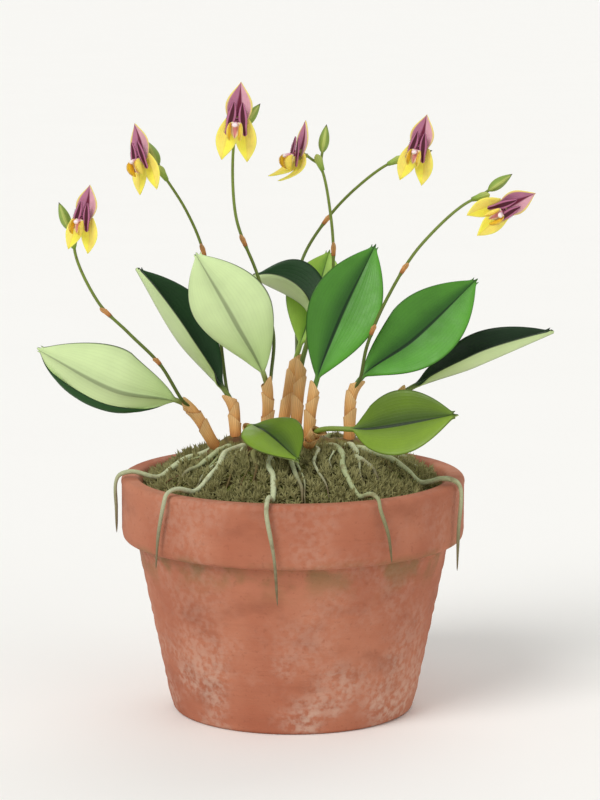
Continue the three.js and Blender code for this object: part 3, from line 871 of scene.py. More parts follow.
@dataclass(frozen=True)
class PaperFinish:
    """Dry papery tissue with fine lengthwise lines, darker at its foot."""

    name: str
    foot: Colour
    body: Colour
    mouth: Colour
    line: Colour
    lines: int

    def material(self) -> Material:
        """Paint the paper.

        Returns:
            The material.
        """
        paint = Paint(self.name, {"Specular IOR Level": 0.25})
        u, v = paint.form()
        up = paint.math("SUBTRACT", 1.0, paint.math("ABSOLUTE", paint.math("MULTIPLY_ADD", v, 2.0, -1.0)))
        colour = paint.ramp(up, (0.0, self.foot), (0.45, self.body), (1.0, self.mouth))
        colour = paint.shade(colour, paint.noise(1.6, 4.0, (1, 1, 0.4)), 0.72, 1.24)
        ribs = paint.lines(u, self.lines, 3.0)
        colour = paint.stain(colour, ribs, 0.3, self.line)
        colour = paint.blend(paint.step(up, 0.93, 1.0), colour, rgb(self.line))
        paint.bump(ribs, 0.03)
        paint.bump(paint.noise(0.5, 3.0, (1, 1, 0.3)), 0.05)
        return paint.done(colour, paint.rough(1.2, 0.55, 0.78))


SHEATH_FINISH = PaperFinish(
    "sheath_paper", (184, 118, 62), (228, 172, 104), (236, 196, 136), (146, 88, 44), 21
)
BRACT_FINISH = PaperFinish("bract_paper", (152, 92, 44), (214, 150, 88), (226, 176, 120), (150, 92, 46), 9)
FLORAL_BRACT_FINISH = PaperFinish(
    "green_bract", (120, 148, 56), (150, 176, 80), (190, 198, 112), (104, 130, 50), 12
)


@dataclass(frozen=True)
class StemFinish:
    """A green stem that pales upward, with brown flecks."""

    name: str
    foot: Colour
    top: Colour
    fleck: Colour

    def material(self) -> Material:
        """Paint the stem.

        Returns:
            The material.
        """
        paint = Paint(self.name, {"Specular IOR Level": 0.4})
        u, v = paint.form()
        colour = paint.ramp(v, (0.0, self.foot), (1.0, self.top))
        colour = paint.shade(colour, paint.noise(2.0, 3.0), 0.8, 1.2)
        flecks = paint.step(paint.noise(0.45, 2.0, (1, 1, 0.35)), 0.6, 0.7)
        colour = paint.stain(colour, flecks, 0.55, self.fleck)
        paint.bump(paint.lines(u, 9, 2.0), 0.03)
        return paint.done(colour, paint.rough(1.5, 0.4, 0.56))


@dataclass(frozen=True)
class BudFinish:
    """A closed bud with three pale keels and a dark tip."""

    body: Colour
    keel: Colour
    tip: Colour

    def material(self) -> Material:
        """Paint the bud.

        Returns:
            The material.
        """
        paint = Paint("bud", {"Specular IOR Level": 0.4})
        u, v = paint.form()
        colour = paint.blend(paint.lines(u, 3, 4.0), rgb(self.body), rgb(self.keel))
        colour = paint.shade(colour, paint.lines(u, 21, 3.0), 1.0, 0.8)
        colour = paint.shade(colour, paint.noise(1.0, 3.0), 0.82, 1.16)
        colour = paint.blend(paint.step(v, 0.86, 0.98), colour, rgb(self.tip))
        paint.bump(paint.lines(u, 21, 2.0), 0.03)
        return paint.done(colour, paint.rough(1.0, 0.42, 0.56))


@dataclass(frozen=True)
class SepalFinish:
    """A sepal in three bands: its middle, the blades beside it and its margin."""

    name: str
    margin: Colour
    left: Colour
    right: Colour
    middle: Colour
    band: tuple[float, float]  # where the margin starts, at the sepal's foot and at its tip
    stripe: tuple[float, float]  # how wide the middle's colour is, at its foot and at its tip
    strength: float = 1.0

    def material(self) -> Material:
        """Paint the sepal.

        Returns:
            The material.
        """
        shader = {"Subsurface Weight": 0.12, "Subsurface Scale": 0.6 * MM, "Specular IOR Level": 0.4}
        paint = Paint(self.name, shader)
        u, v, aside = paint.form_and_aside()
        # the two halves' colours: on the dorsal sepal the left half's deeper tone is painted shade
        inner = paint.blend(paint.step(u, 0.38, 0.62), rgb(self.left), rgb(self.right))
        inner = paint.shade(inner, paint.noise(0.9, 3.0), 0.84, 1.16)
        outward = paint.step(paint.math("SUBTRACT", aside, paint.taper(v, self.band)), -0.12, 0.1)
        colour = paint.blend(outward, inner, rgb(self.margin))
        within = paint.step(paint.math("SUBTRACT", paint.taper(v, self.stripe), aside), -0.08, 0.1)
        colour = paint.stain(colour, within, self.strength, self.middle)
        colour = paint.shade(colour, paint.lines(u, 11, 6.0), 1.0, 0.93)
        paint.bump(paint.lines(u, 11, 2.0), 0.015)
        paint.bump(paint.noise(0.25, 2.0), 0.02)
        return paint.done(colour, paint.rough(0.8, 0.36, 0.52))


DORSAL_FINISH = SepalFinish(
    "dorsal_sepal",
    margin=(240, 222, 112),
    # the left half's deeper mauve is painted shade
    left=(184, 114, 144),
    right=(222, 164, 178),
    middle=(112, 24, 56),
    band=(0.97, 0.8),
    stripe=(0.32, 0.06),
)
LEFT_FINISH = SepalFinish(
    "lateral_sepal_left",
    margin=(252, 240, 104),
    left=(252, 240, 78),
    right=(252, 230, 106),
    middle=(206, 156, 60),
    band=(0.9, 0.8),
    stripe=(0.03, 0.0),
    strength=0.7,
)
RIGHT_FINISH = replace(
    LEFT_FINISH, name="lateral_sepal_right", left=LEFT_FINISH.right, right=LEFT_FINISH.left
)


@dataclass(frozen=True)
class PetalFinish:
    """Velvety tissue with a darker middle and a paler margin."""

    name: str
    middle: Colour
    margin: Colour
    edge: float  # where the margin's colour starts, as a share of the half width
    velvet: float = 0.05

    def material(self) -> Material:
        """Paint the petal.

        Returns:
            The material.
        """
        shader = {"Sheen Weight": self.velvet, "Sheen Roughness": 0.4, "Specular IOR Level": 0.35}
        paint = Paint(self.name, shader)
        aside = paint.form_and_aside()[2]
        outward = paint.step(aside, self.edge - 0.14, self.edge + 0.14)
        colour = paint.blend(outward, rgb(self.middle), rgb(self.margin))
        colour = paint.shade(colour, paint.noise(0.5, 3.0), 0.76, 1.24)
        paint.bump(paint.cells(0.12), 0.02)
        return paint.done(colour, paint.rough(0.5, 0.42, 0.6))


@dataclass(frozen=True)
class ColumnFinish:
    """A waxy column that goes from a dark base to a pale tip."""

    base: Colour
    body: Colour
    tip: Colour

    def material(self) -> Material:
        """Paint the column.

        Returns:
            The material.
        """
        paint = Paint("column", {"Subsurface Weight": 0.15, "Subsurface Scale": 0.4 * MM})
        v = paint.form()[1]
        colour = paint.ramp(v, (0.3, self.base), (0.62, self.body), (0.95, self.tip))
        colour = paint.shade(colour, paint.noise(0.3, 2.0), 0.88, 1.1)
        paint.bump(paint.noise(0.15, 2.0), 0.015)
        return paint.done(colour, paint.rough(0.4, 0.3, 0.42))


@dataclass(frozen=True)
class HairFinish:
    """Short hairs, darker at the foot."""

    name: str
    foot: Colour
    tip: Colour

    def material(self) -> Material:
        """Return the hairs' material."""
        paint = Paint(self.name, {"Specular IOR Level": 0.3, "Roughness": 0.5})
        return paint.done(paint.ramp(paint.attribute(RISE), (0.0, self.foot), (1.0, self.tip)))


@dataclass(frozen=True)
class RootFinish:
    """Spongy pale root skin with brown patches, from whitish to brown by tone."""

    pale: Colour
    green: Colour
    brown: Colour
    tip: Colour

    def material(self) -> Material:
        """Paint the roots.

        Returns:
            The material.
        """
        paint = Paint("root_skin", {"Specular IOR Level": 0.3})
        v = paint.form()[1]
        colour = paint.ramp(paint.attribute(TONE), (0.15, self.pale), (0.6, self.green), (0.95, self.brown))
        stains = paint.step(paint.noise(2.4, 4.0), 0.55, 0.72)
        colour = paint.stain(colour, stains, 0.5, self.brown)
        colour = paint.blend(paint.step(v, 0.5, 1.0, (0.0, 0.85)), colour, rgb(self.tip))
        colour = paint.shade(colour, paint.noise(0.35, 3.0), 0.78, 1.18)
        paint.bump(paint.noise(0.4, 3.0, (1, 1, 0.5)), 0.07)
        return paint.done(colour, paint.rough(1.0, 0.62, 0.82))


@dataclass(frozen=True)
class RhizomeFinish:
    """Ringed greenish-brown rhizome bark."""

    green: Colour
    brown: Colour

    def material(self) -> Material:
        """Paint the rhizome.

        Returns:
            The material.
        """
        paint = Paint("rhizome_bark", {"Specular IOR Level": 0.3})
        v = paint.form()[1]
        colour = paint.blend(paint.step(paint.noise(1.6, 4.0), 0.35, 0.7), rgb(self.green), rgb(self.brown))
        rings = paint.lines(v, 14, 6.0)
        colour = paint.shade(colour, rings, 1.0, 0.6)
        paint.bump(rings, -0.1)
        paint.bump(paint.noise(0.4, 4.0), 0.08)
        return paint.done(colour, paint.rough(0.8, 0.6, 0.8))


@dataclass(frozen=True)
class MossFinish:
    """Moss from brown and olive to straw by tone, lighter at the tips of its leaves."""

    name: str
    shade: Colour
    olive: Colour
    green: Colour
    straw: Colour

    def tufts(self) -> Material:
        """Paint the moss's small leaves.

        Returns:
            The material.
        """
        paint = Paint(self.name, {"Specular IOR Level": 0.3})
        colour = paint.ramp(
            paint.attribute(TONE), (0.0, self.shade), (0.3, self.olive), (0.62, self.green), (1.0, self.straw)
        )
        colour = paint.shade(colour, paint.noise(6.0, 3.0), 0.75, 1.2)
        colour = paint.shade(colour, paint.step(paint.attribute(RISE), 0.0, 0.9), 0.5, 1.2)
        return paint.done(colour, paint.rough(1.5, 0.6, 0.85))

    def bed(self) -> Material:
        """Paint the dark mat below them.

        Returns:
            The material.
        """
        paint = Paint(self.name + "_bed", {"Specular IOR Level": 0.2})
        colour = paint.blend(paint.step(paint.noise(2.0, 5.0), 0.35, 0.7), rgb(self.shade), rgb(self.olive))
        colour = paint.shade(colour, paint.cells(0.5), 0.6, 1.3)
        paint.bump(paint.noise(0.6, 5.0), 0.4)
        return paint.done(colour, paint.rough(1.0, 0.8, 0.95))


@dataclass(frozen=True)
class ClayFinish:
    """Fired clay with throwing marks, a bloom of lime and damp stains."""

    clay: Colour
    pale: Colour
    dark: Colour
    lime: Colour
    algae: Colour
    height: float = 40.0  # the pot's, which the bloom and the damp band follow

    def material(self) -> Material:
        """Paint the clay.

        Returns:
            The material.
        """
        paint = Paint("fired_clay", {"Specular IOR Level": 0.25})
        up = paint.math("DIVIDE", paint.height(), self.height * MM)
        colour = paint.blend(paint.step(paint.noise(16.0, 4.0), 0.3, 0.7), rgb(self.clay), rgb(self.pale))
        stains = paint.step(paint.noise(9.0, 7.0, (1, 1, 1.6)), 0.5, 0.78)
        colour = paint.stain(colour, stains, 0.55, self.dark)
        grit = paint.step(paint.noise(0.7, 2.0), 0.62, 0.7)
        colour = paint.stain(colour, grit, 0.25, self.dark)
        low = paint.step(up, 0.5, 0.0)
        patches = paint.step(paint.noise(11.0, 6.0), 0.4, 0.66)
        bloom = paint.math("MULTIPLY", patches, paint.step(paint.noise(1.1, 6.0), 0.34, 0.64))
        bloom = paint.math("MULTIPLY", bloom, paint.math("MULTIPLY_ADD", low, 0.32, 0.12))
        colour = paint.blend(bloom, colour, rgb(self.lime))
        band = paint.math("MULTIPLY", paint.step(up, 0.55, 0.72), paint.step(up, 0.78, 0.725))
        moist = paint.math("MULTIPLY", band, paint.step(paint.noise(6.0, 5.0), 0.42, 0.62))
        colour = paint.stain(colour, moist, 0.5, self.algae)
        paint.bump(paint.noise(0.5, 4.0), 0.05)
        paint.bump(paint.noise(3.0, 3.0, (0.25, 0.25, 6)), 0.08)
        return paint.done(colour, paint.rough(3.0, 0.78, 0.93))


@dataclass(frozen=True)
class ClayPot:
    """The thrown clay pot: tapered body, thick rim band and drain holes."""

    height: float = 40.0
    rim_radius: float = 29.0
    band_height: float = 11.0
    band_step: float = 2.6  # how far the rim band stands out
    band_slope: float = 0.4  # how far its lower edge slopes
    foot_radius: float = 20.5
    wall: float = 3.2
    floor: float = 3.5
    lip: float = 0.9  # the radius that its edges are rounded to
    corner: float = 2.0  # the bevel at the foot of the bore
    drains: int = 3
    drain_radius: float = 2.2
    drain_ring: float = 9.0  # how far the drain holes are from the axis
    sides: int = 128
    body_rings: int = 34
    band_rings: int = 8
    bore_rings: int = 12
    edge_rings: int = 6  # round each edge
    throwing: float = 0.07  # how far the potter's fingers left rings in the wall
    finish: ClayFinish = ClayFinish(
        (170, 102, 76), (188, 122, 94), (140, 82, 60), (220, 202, 184), (108, 106, 64)
    )

    @property
    def band_foot(self) -> float:
        """Return the height of the rim band's lower edge."""
        return self.height - self.band_height

    def outer(self, z: float) -> float:
        """Return the radius of the body at a height."""
        return mix(self.foot_radius, self.rim_radius - self.band_step, z / self.band_foot)

    def inner(self, z: float) -> float:
        """Return the radius of the bore at a height."""
        share = (z - self.floor) / (self.height - self.floor)
        return mix(self.foot_radius - self.wall, self.rim_radius - self.wall, share)

    def arc(self, radius: float, z: float, start: float, end: float) -> list[tuple[float, float]]:
        """Round an edge.

        Args:
            radius: The arc's middle, out from the pot's axis.
            z: The height of its middle.
            start: The angle that it starts at, in degrees, with 0 outwards and 90 up.
            end: The angle that it ends at.

        Returns:
            Radii and heights on the arc, one lip's radius from its middle.
        """
        turns = np.radians(np.linspace(start, end, self.edge_rings))
        return [(radius + self.lip * math.cos(a), z + self.lip * math.sin(a)) for a in turns]

    def profile(self) -> list[tuple[float, float]]:
        """Work out the pot's outline, from the foot up the outside and down the inside.

        Returns:
            Radii and heights.
        """
        lip, rim = self.lip, self.rim_radius
        rings = self.arc(self.foot_radius - lip, lip, -90, 0)
        for z in np.linspace(lip, self.band_foot, self.body_rings)[1:-1]:
            rings.append((self.outer(z) + self.throwing * math.sin(2.3 * z + math.sin(1.1 * z)), z))
        rings.append((self.outer(self.band_foot), self.band_foot))
        rings.append((rim - 1.6 * lip, self.band_foot + self.band_slope * 0.8))
        rings += self.arc(rim - 1.25 * lip, self.band_foot + self.band_slope + lip, -80, -10)
        for z in np.linspace(self.band_foot + 2.4 * lip, self.height - 1.6 * lip, self.band_rings):
            rings.append((rim - 0.1 * lip + 0.3 * self.throwing * math.sin(3.1 * z), z))
        rings += self.arc(rim - lip, self.height - lip, 0, 90)
        rings += self.arc(rim - self.wall + lip, self.height - lip, 90, 180)
        for z in np.linspace(self.height - 2 * lip, self.floor + self.corner, self.bore_rings):
            rings.append((self.inner(z), z))
        rings.append((self.inner(self.floor) - self.corner, self.floor))
        return rings

    def build(self) -> None:
        """Throw the pot ring by ring, cut its drain holes and dress it."""
        (radius, z), *rings = self.profile()
        bpy.ops.object.select_all(action="DESELECT")
        bpy.ops.mesh.primitive_circle_add(vertices=self.sides, radius=radius * MM, fill_type="TRIFAN")
        pot = bpy.context.active_object
        pot.name = "clay_pot"
        bpy.ops.object.mode_set(mode="EDIT")
        for wider, higher in rings:
            bpy.ops.mesh.extrude_region_move(TRANSFORM_OT_translate={"value": (0, 0, (higher - z) * MM)})
            scale = wider / radius
            bpy.ops.transform.resize(value=(scale, scale, 1), center_override=(0, 0, higher * MM))
            radius, z = wider, higher
        bpy.ops.object.mode_set(mode="OBJECT")
        close_up(pot)
        self.drill(pot)
        pot.data.materials.append(self.finish.material())
        finish_piece(pot, ["pot"], by_angle=True)

    def drill(self, pot: Piece) -> None:
        """Cut the drain holes.

        Args:
            pot: The thrown pot.
        """
        for i in range(self.drains):
            bearing = 2 * math.pi * (i + 0.25) / self.drains
            place = (self.drain_ring * math.cos(bearing) * MM, self.drain_ring * math.sin(bearing) * MM, 0)
            bpy.ops.object.select_all(action="DESELECT")
            bpy.ops.mesh.primitive_cylinder_add(
                vertices=40, radius=self.drain_radius * MM, depth=3 * self.floor * MM, location=place
            )
            cutter = bpy.context.active_object
            apply_modifier(pot, "BOOLEAN", object=cutter, operation="DIFFERENCE", solver="EXACT")
            bpy.data.objects.remove(cutter)


@dataclass(frozen=True)
class MossBed:
    """The cushion of moss that fills the pot."""

    pot: ClayPot
    edge_drop: float = 2.5  # how far below the rim it meets the wall
    gap: float = 0.3  # the space between it and the pot
    rise: float = 7.0  # how far its middle stands above its edge
    flatness: float = 3.0  # more gives a flatter top and steeper shoulders
    hummock: float = 0.45  # how high its lumps are
    sides: int = 140
    top_rings: int = 44
    crumb: float = 0.25  # how high the crumbs of the mat are
    stars: int = 2500
    sprigs: int = 1500
    leaflet: tuple[float, float] = (0.27, 1.25)  # radius at the foot and length of a moss leaf
    whorl: float = 2.4  # the turn from one moss leaf to the next, in radians
    sprig_leaves: int = 11
    clearing: float = 0.75  # how far a tuft keeps from roots and stems
    unevenness: float = 0.16  # how far tufts lean at random
    slope_step: float = 0.4  # how far to each side its slope is measured
    finish: MossFinish = MossFinish("moss", (72, 62, 30), (112, 122, 44), (150, 170, 62), (206, 202, 130))

    @property
    def edge(self) -> tuple[float, float]:
        """Return the radius and height of the moss where it meets the pot."""
        height = self.pot.height - self.edge_drop
        return self.pot.inner(height) - self.gap, height

    @property
    def finish_material(self) -> Material:
        """Return the tufts' material, which is made once."""
        return bpy.data.materials.get(self.finish.name) or self.finish.tufts()

    def top(self, x: np.ndarray, y: np.ndarray) -> np.ndarray:
        """Work out the height of the cushion at some places.

        Args:
            x: Where they are along X.
            y: Where they are along Y.

        Returns:
            The height at each.
        """
        radius, height = self.edge
        share = np.minimum(1, np.hypot(x, y) / radius)
        lumps = np.sin(0.62 * x + 1) * np.cos(0.55 * y) + 0.6 * np.sin(0.45 * x + 0.9 * y)
        return height + self.rise * (1 - share**self.flatness) + self.hummock * lumps * (1 - share**4)

    def slopes(self, places: np.ndarray) -> np.ndarray:
        """Work out how steeply the cushion rises.

        Args:
            places: One point a row.

        Returns:
            The slopes along X and Y, one row a place.
        """
        x, y, step = places[:, 0], places[:, 1], self.slope_step
        along_x = self.top(x + step, y) - self.top(x - step, y)
        along_y = self.top(x, y + step) - self.top(x, y - step)
        return np.stack([along_x, along_y], axis=1) / 2 / step

    def build(self, kept_clear: np.ndarray) -> None:
        """Lay the mat and plant the stars and sprigs of moss on it.

        Args:
            kept_clear: Points of the roots and stems that no tuft may cover.
        """
        self.lay_mat()
        rng = np.random.default_rng(5)
        self.plant("moss_stars", self.star(), self.stars, (0.75, 1.25), -0.15, kept_clear, rng)
        self.plant("moss_sprigs", self.sprig(), self.sprigs, (0.6, 1.15), -0.3, kept_clear, rng)

    def lay_mat(self) -> None:
        """Build the closed mat, from the pot's floor up its wall and over its domed top."""
        pot, radius = self.pot, self.edge[0]
        angle = full_turn(self.sides)
        corner = pot.floor + pot.corner
        low, foot = pot.floor + self.gap, pot.inner(pot.floor) - pot.corner - self.gap
        wall = [(0.0, low), (foot, low), (pot.inner(corner) - self.gap, corner)]
        ring = np.stack([np.cos(angle), np.sin(angle), np.ones_like(angle)], axis=1)
        rows = [ring * (r, r, z) for r, z in wall]
        for r in radius * np.linspace(1, 0, self.top_rings) ** 0.8:
            x, y = r * np.cos(angle), r * np.sin(angle)
            crumbs = self.crumb * np.sin(3.1 * x + 2 * np.sin(1.7 * y)) * np.sin(2.7 * y + 1.3 * x)
            height = self.top(x, y) - self.crumb + crumbs * (1 - (r / radius) ** 6)
            rows.append(np.stack([x, y, height], axis=1))
        mat = loft("moss_mat", np.array(rows), [self.finish.bed()])
        finish_piece(mat, ["moss"])

    def leaflets(self, name: str, tilts: np.ndarray, turns: np.ndarray, feet: np.ndarray) -> Piece:
        """Set small moss leaves round a point.

        Args:
            name: The tuft's name.
            tilts: How far each leaf leans out, in radians.
            turns: The way that each leans, in radians.
            feet: The height of each leaf's foot.

        Returns:
            The tuft.
        """
        ways = np.stack([np.sin(tilts) * np.cos(turns), np.sin(tilts) * np.sin(turns), np.cos(tilts)], axis=1)
        places = np.stack([0 * feet, 0 * feet, feet], axis=1)
        sizes = np.ones(len(tilts))
        axes = aimed(ways, turns, sizes, sizes)
        return spread(name, spike(*self.leaflet), places, axes, self.finish_material)

    def star(self) -> Piece:
        """Model one star of moss.

        Returns:
            The star.
        """
        tilts = np.radians([18, 26, 34, 58, 64, 70, 66, 74, 62])
        count = len(tilts)
        return self.leaflets("star", tilts, np.arange(count) * self.whorl, np.linspace(0.35, 0, count))

    def sprig(self) -> Piece:
        """Model one upright sprig of moss with leaves all the way up.

        Returns:
            The sprig.
        """
        count = self.sprig_leaves
        tilts = np.radians(np.linspace(64, 12, count))
        return self.leaflets("sprig", tilts, np.arange(count) * self.whorl, np.linspace(0, 1.2, count))

    def plant(
        self,
        name: str,
        pattern: Piece,
        count: int,
        sizes: tuple[float, float],
        above: float,
        kept_clear: np.ndarray,
        rng: np.random.Generator,
    ) -> None:
        """Plant one kind of tuft all over the mat.

        Args:
            name: The piece's name.
            pattern: The tuft.
            count: How many there are.
            sizes: The least and the greatest scale.
            above: How far above the cushion's height their feet are.
            kept_clear: Points that no tuft may cover.
            rng: The seeded source of their places.
        """
        order = np.arange(count) + rng.uniform(-0.5, 0.5, count)
        spin = order * GOLDEN_ANGLE + rng.uniform(-0.3, 0.3, count)
        radius = (self.edge[0] + 0.1) * np.sqrt(np.clip(order + 0.5, 0, count) / count)
        x, y = radius * np.cos(spin), radius * np.sin(spin)
        places = np.stack([x, y, self.top(x, y) + above], axis=1)
        gap = np.full(count, np.inf)
        for part in np.array_split(kept_clear, PARTS):
            gap = np.minimum(gap, np.linalg.norm(places[:, None] - part[None], axis=2).min(axis=1))
        free = gap > self.clearing
        places, gap = places[free], gap[free]
        kept = len(places)
        ways = np.append(-0.6 * self.slopes(places), np.ones((kept, 1)), axis=1)
        ways += rng.normal(0, self.unevenness, (kept, 3))
        scale = rng.uniform(*sizes, kept) * np.clip(0.45 + 0.35 * gap, 0.6, 1)
        x, y = places[:, 0], places[:, 1]
        clumps = 0.5 + 0.28 * np.sin(0.33 * x + 1.3 * np.sin(0.21 * y)) * np.cos(0.29 * y)
        tones = np.clip(clumps + rng.normal(0, 0.17, kept), 0, 1)
        axes = aimed(ways, rng.uniform(0, ANY_TURN, kept), scale, scale)
        tufts = spread(name, pattern, places, axes, self.finish_material, tones)
        finish_piece(tufts, ["moss"], by_angle=True)


@dataclass(frozen=True)
class Root:
    """One root: its bearing, and how far it crosses the moss or hangs below the rim."""

    bearing: float
    reach: float | None = None  # the share of the way to the rim where it dives in, or none to hang over it
    hang: float = 0.0  # how far below the rim it ends
    drift: float = 0.0  # how far it leans aside down the wall
    radius: float = 0.54
    tone: float = 0.3
    lowered: float = 0.0  # how much nearer the moss it lies than a thick root


@dataclass(frozen=True)
class Creeper:
    """The creeping rhizome with all its roots."""

    bed: MossBed
    radius: float = 1.7
    branch_radius: float = 1.5
    perch: float = 0.4  # how far its middle lies above the moss
    root_radius: float = 0.6
    root_gap: float = 0.4  # the space between a root and the moss
    collar: tuple[float, float] = (11.0, 0.6)  # the oval on which the roots start
    wander: float = 1.6  # how far a root swings aside
    swing: float = 4.2  # how quickly it swings, in radians over its length
    dive: tuple[float, float] = (1.8, 2.4)  # how far along and how far down a root's end dives
    run: tuple[tuple[float, float], ...] = (
        (-14.6, -0.6), (-9, 0.4), (-4.4, -0.6), (1, 0.2), (6, -0.4), (10.5, 0.4), (15.4, 2.8)
    )
    branches: tuple[tuple[tuple[float, float], ...], ...] = (
        ((-3.4, 0), (-2.4, 2.4), (-1.9, 4.8)),
        ((2.6, -0.4), (2.4, -3), (2.7, -5.8)),
        ((-5.4, -0.8), (-6, -3), (-6.5, -5.4)),
    )
    roots: tuple[Root, ...] = (
        Root(-172, hang=9, drift=1.4, tone=0.25),
        Root(-152, reach=0.8, tone=0.35),
        Root(-134, hang=12, drift=-2, tone=0.15),
        Root(-111, reach=0.66, tone=0.75),
        Root(-98, hang=16, drift=1.8, tone=0.2),
        Root(-86, reach=0.84, tone=0.3),
        Root(-62, hang=10, drift=2.2, tone=0.4),
        Root(-43, reach=0.72, tone=0.2),
        Root(-22, hang=14, drift=-1.6, tone=0.3),
        Root(14, reach=0.8, tone=0.3),
        Root(66, hang=8, drift=1.2, tone=0.5),
        Root(128, reach=0.74, tone=0.25),
    )
    fine_roots: int = 34
    fine_radius: tuple[float, float] = (0.18, 0.36)
    run_stations: int = 60
    run_sides: int = 20
    rings: int = 14  # how many rings of old scars a run of rhizome has
    root_stations: int = 90
    root_sides: int = 10
    skin: RootFinish = RootFinish((200, 206, 168), (154, 166, 108), (120, 92, 54), (92, 66, 36))
    bark: RhizomeFinish = RhizomeFinish((122, 118, 62), (96, 66, 38))

    def on_moss(self, x: float, y: float, above: float) -> Point:
        """Return the point at a height above the moss."""
        return (x, y, float(self.bed.top(np.array(x), np.array(y))) + above)

    def seat(self, foot: tuple[float, float], sunk: float) -> Point:
        """Return the point where a stem starts, sunk into the rhizome's top."""
        return self.on_moss(*foot, self.perch + self.radius - sunk)

    def root_line(self, root: Root) -> Line:
        """Lay a root from the rhizome over the moss, and into it or over the rim.

        Args:
            root: The root.

        Returns:
            Its middle line.
        """
        angle = math.radians(root.bearing)
        out = np.array([math.cos(angle), math.sin(angle)])
        aside = np.array([-out[1], out[0]])
        clear = self.root_radius + self.root_gap
        start = np.array(self.collar) * out
        hangs = root.reach is None
        end = out * (self.bed.edge[0] * (1 if hangs else root.reach) - (2 * clear if hangs else 0))
        points = [self.on_moss(*start, self.perch)]
        for share in np.linspace(0, 1, 6)[1:]:
            swing = self.wander * math.sin(root.bearing + self.swing * share) * math.sin(math.pi * share)
            place = start + (end - start) * share + aside * swing
            points.append(self.on_moss(*place, clear - root.lowered))

        def at(radius: float, z: float, shift: float = 0.0) -> Point:
            """Return a point out on the root's bearing."""
            place = out * radius + aside * shift
            return (float(place[0]), float(place[1]), z)

        if not hangs:
            along, down = self.dive
            return Line((*points, at(float(np.linalg.norm(end)) + along, points[-1][2] - down)))
        pot = self.bed.pot
        bend = pot.lip + clear
        points.append(at(pot.rim_radius - pot.wall + pot.lip, pot.height + clear))
        for turn in (0, math.pi / 4, math.pi / 2):
            away = pot.rim_radius - pot.lip + bend * math.sin(turn)
            points.append(at(away, pot.height - pot.lip + bend * math.cos(turn)))
        wall = pot.rim_radius + clear
        points.append(at(wall, pot.height - (pot.lip + root.hang) / 2, 0.7 * root.drift))
        points.append(at(wall, pot.height - root.hang, root.drift))
        return Line(tuple(points))

    def all_roots(self) -> list[Root]:
        """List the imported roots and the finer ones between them.

        Returns:
            All of them.
        """
        rng = np.random.default_rng(11)
        fine = []
        for i in range(self.fine_roots):
            bearing = -178 + 360 * (i + rng.uniform(-0.25, 0.25)) / self.fine_roots
            reach, tone = rng.uniform(0.55, 0.92), rng.choice([0.1, 0.2, 0.3, 0.5, 0.8, 0.95])
            radius = rng.uniform(*self.fine_radius)
            fine.append(Root(bearing, reach=reach, radius=radius, tone=tone, lowered=0.35))
        return [*self.roots, *fine]

    def build(self) -> np.ndarray:
        """Build the rhizome and its roots.

        Returns:
            Points on their middle lines.
        """
        bark, skin = self.bark.material(), self.skin.material()
        pieces, middles = [], []
        for i, run in enumerate((self.run, *self.branches)):
            line = Line(tuple(self.on_moss(x, y, self.perch) for x, y in run))
            points = line.evenly(self.run_stations)
            t = np.linspace(0, 1, self.run_stations)
            middle = self.branch_radius if i else self.radius
            taper = middle * (1 - 0.2 * (2 * t - 1) ** 4) * np.sqrt(np.clip(1 - (2 * t - 1) ** 16, 0.05, 1))
            ringed = taper * (1 + 0.05 * np.cos(2 * np.pi * self.rings * t))
            rows = tube_rows(Path(points, (0, 0, 1)), ringed, self.run_sides)
            pieces.append(loft("rhizome_run", rows, [bark]))
            middles.append(points)
        for k, root in enumerate(self.all_roots()):
            points = self.root_line(root).evenly(self.root_stations)
            t = np.linspace(0, 1, self.root_stations)
            taper = root.radius * (1 - 0.62 * t**1.6) * np.sqrt(np.clip(1 - t**24, 0.02, 1))
            gnarl = 1 + 0.07 * np.sin(23 * t + k) + 0.05 * np.sin(41 * t + 2 * k)
            rows = tube_rows(Path(points, (0, 0, 1)), taper * gnarl, self.root_sides)
            pieces.append(loft("root", rows, [skin], tone=root.tone))
            middles.append(points)
        finish_piece(joined("rhizome_with_roots", pieces), ["rhizome_and_roots"])
        return np.concatenate(middles)


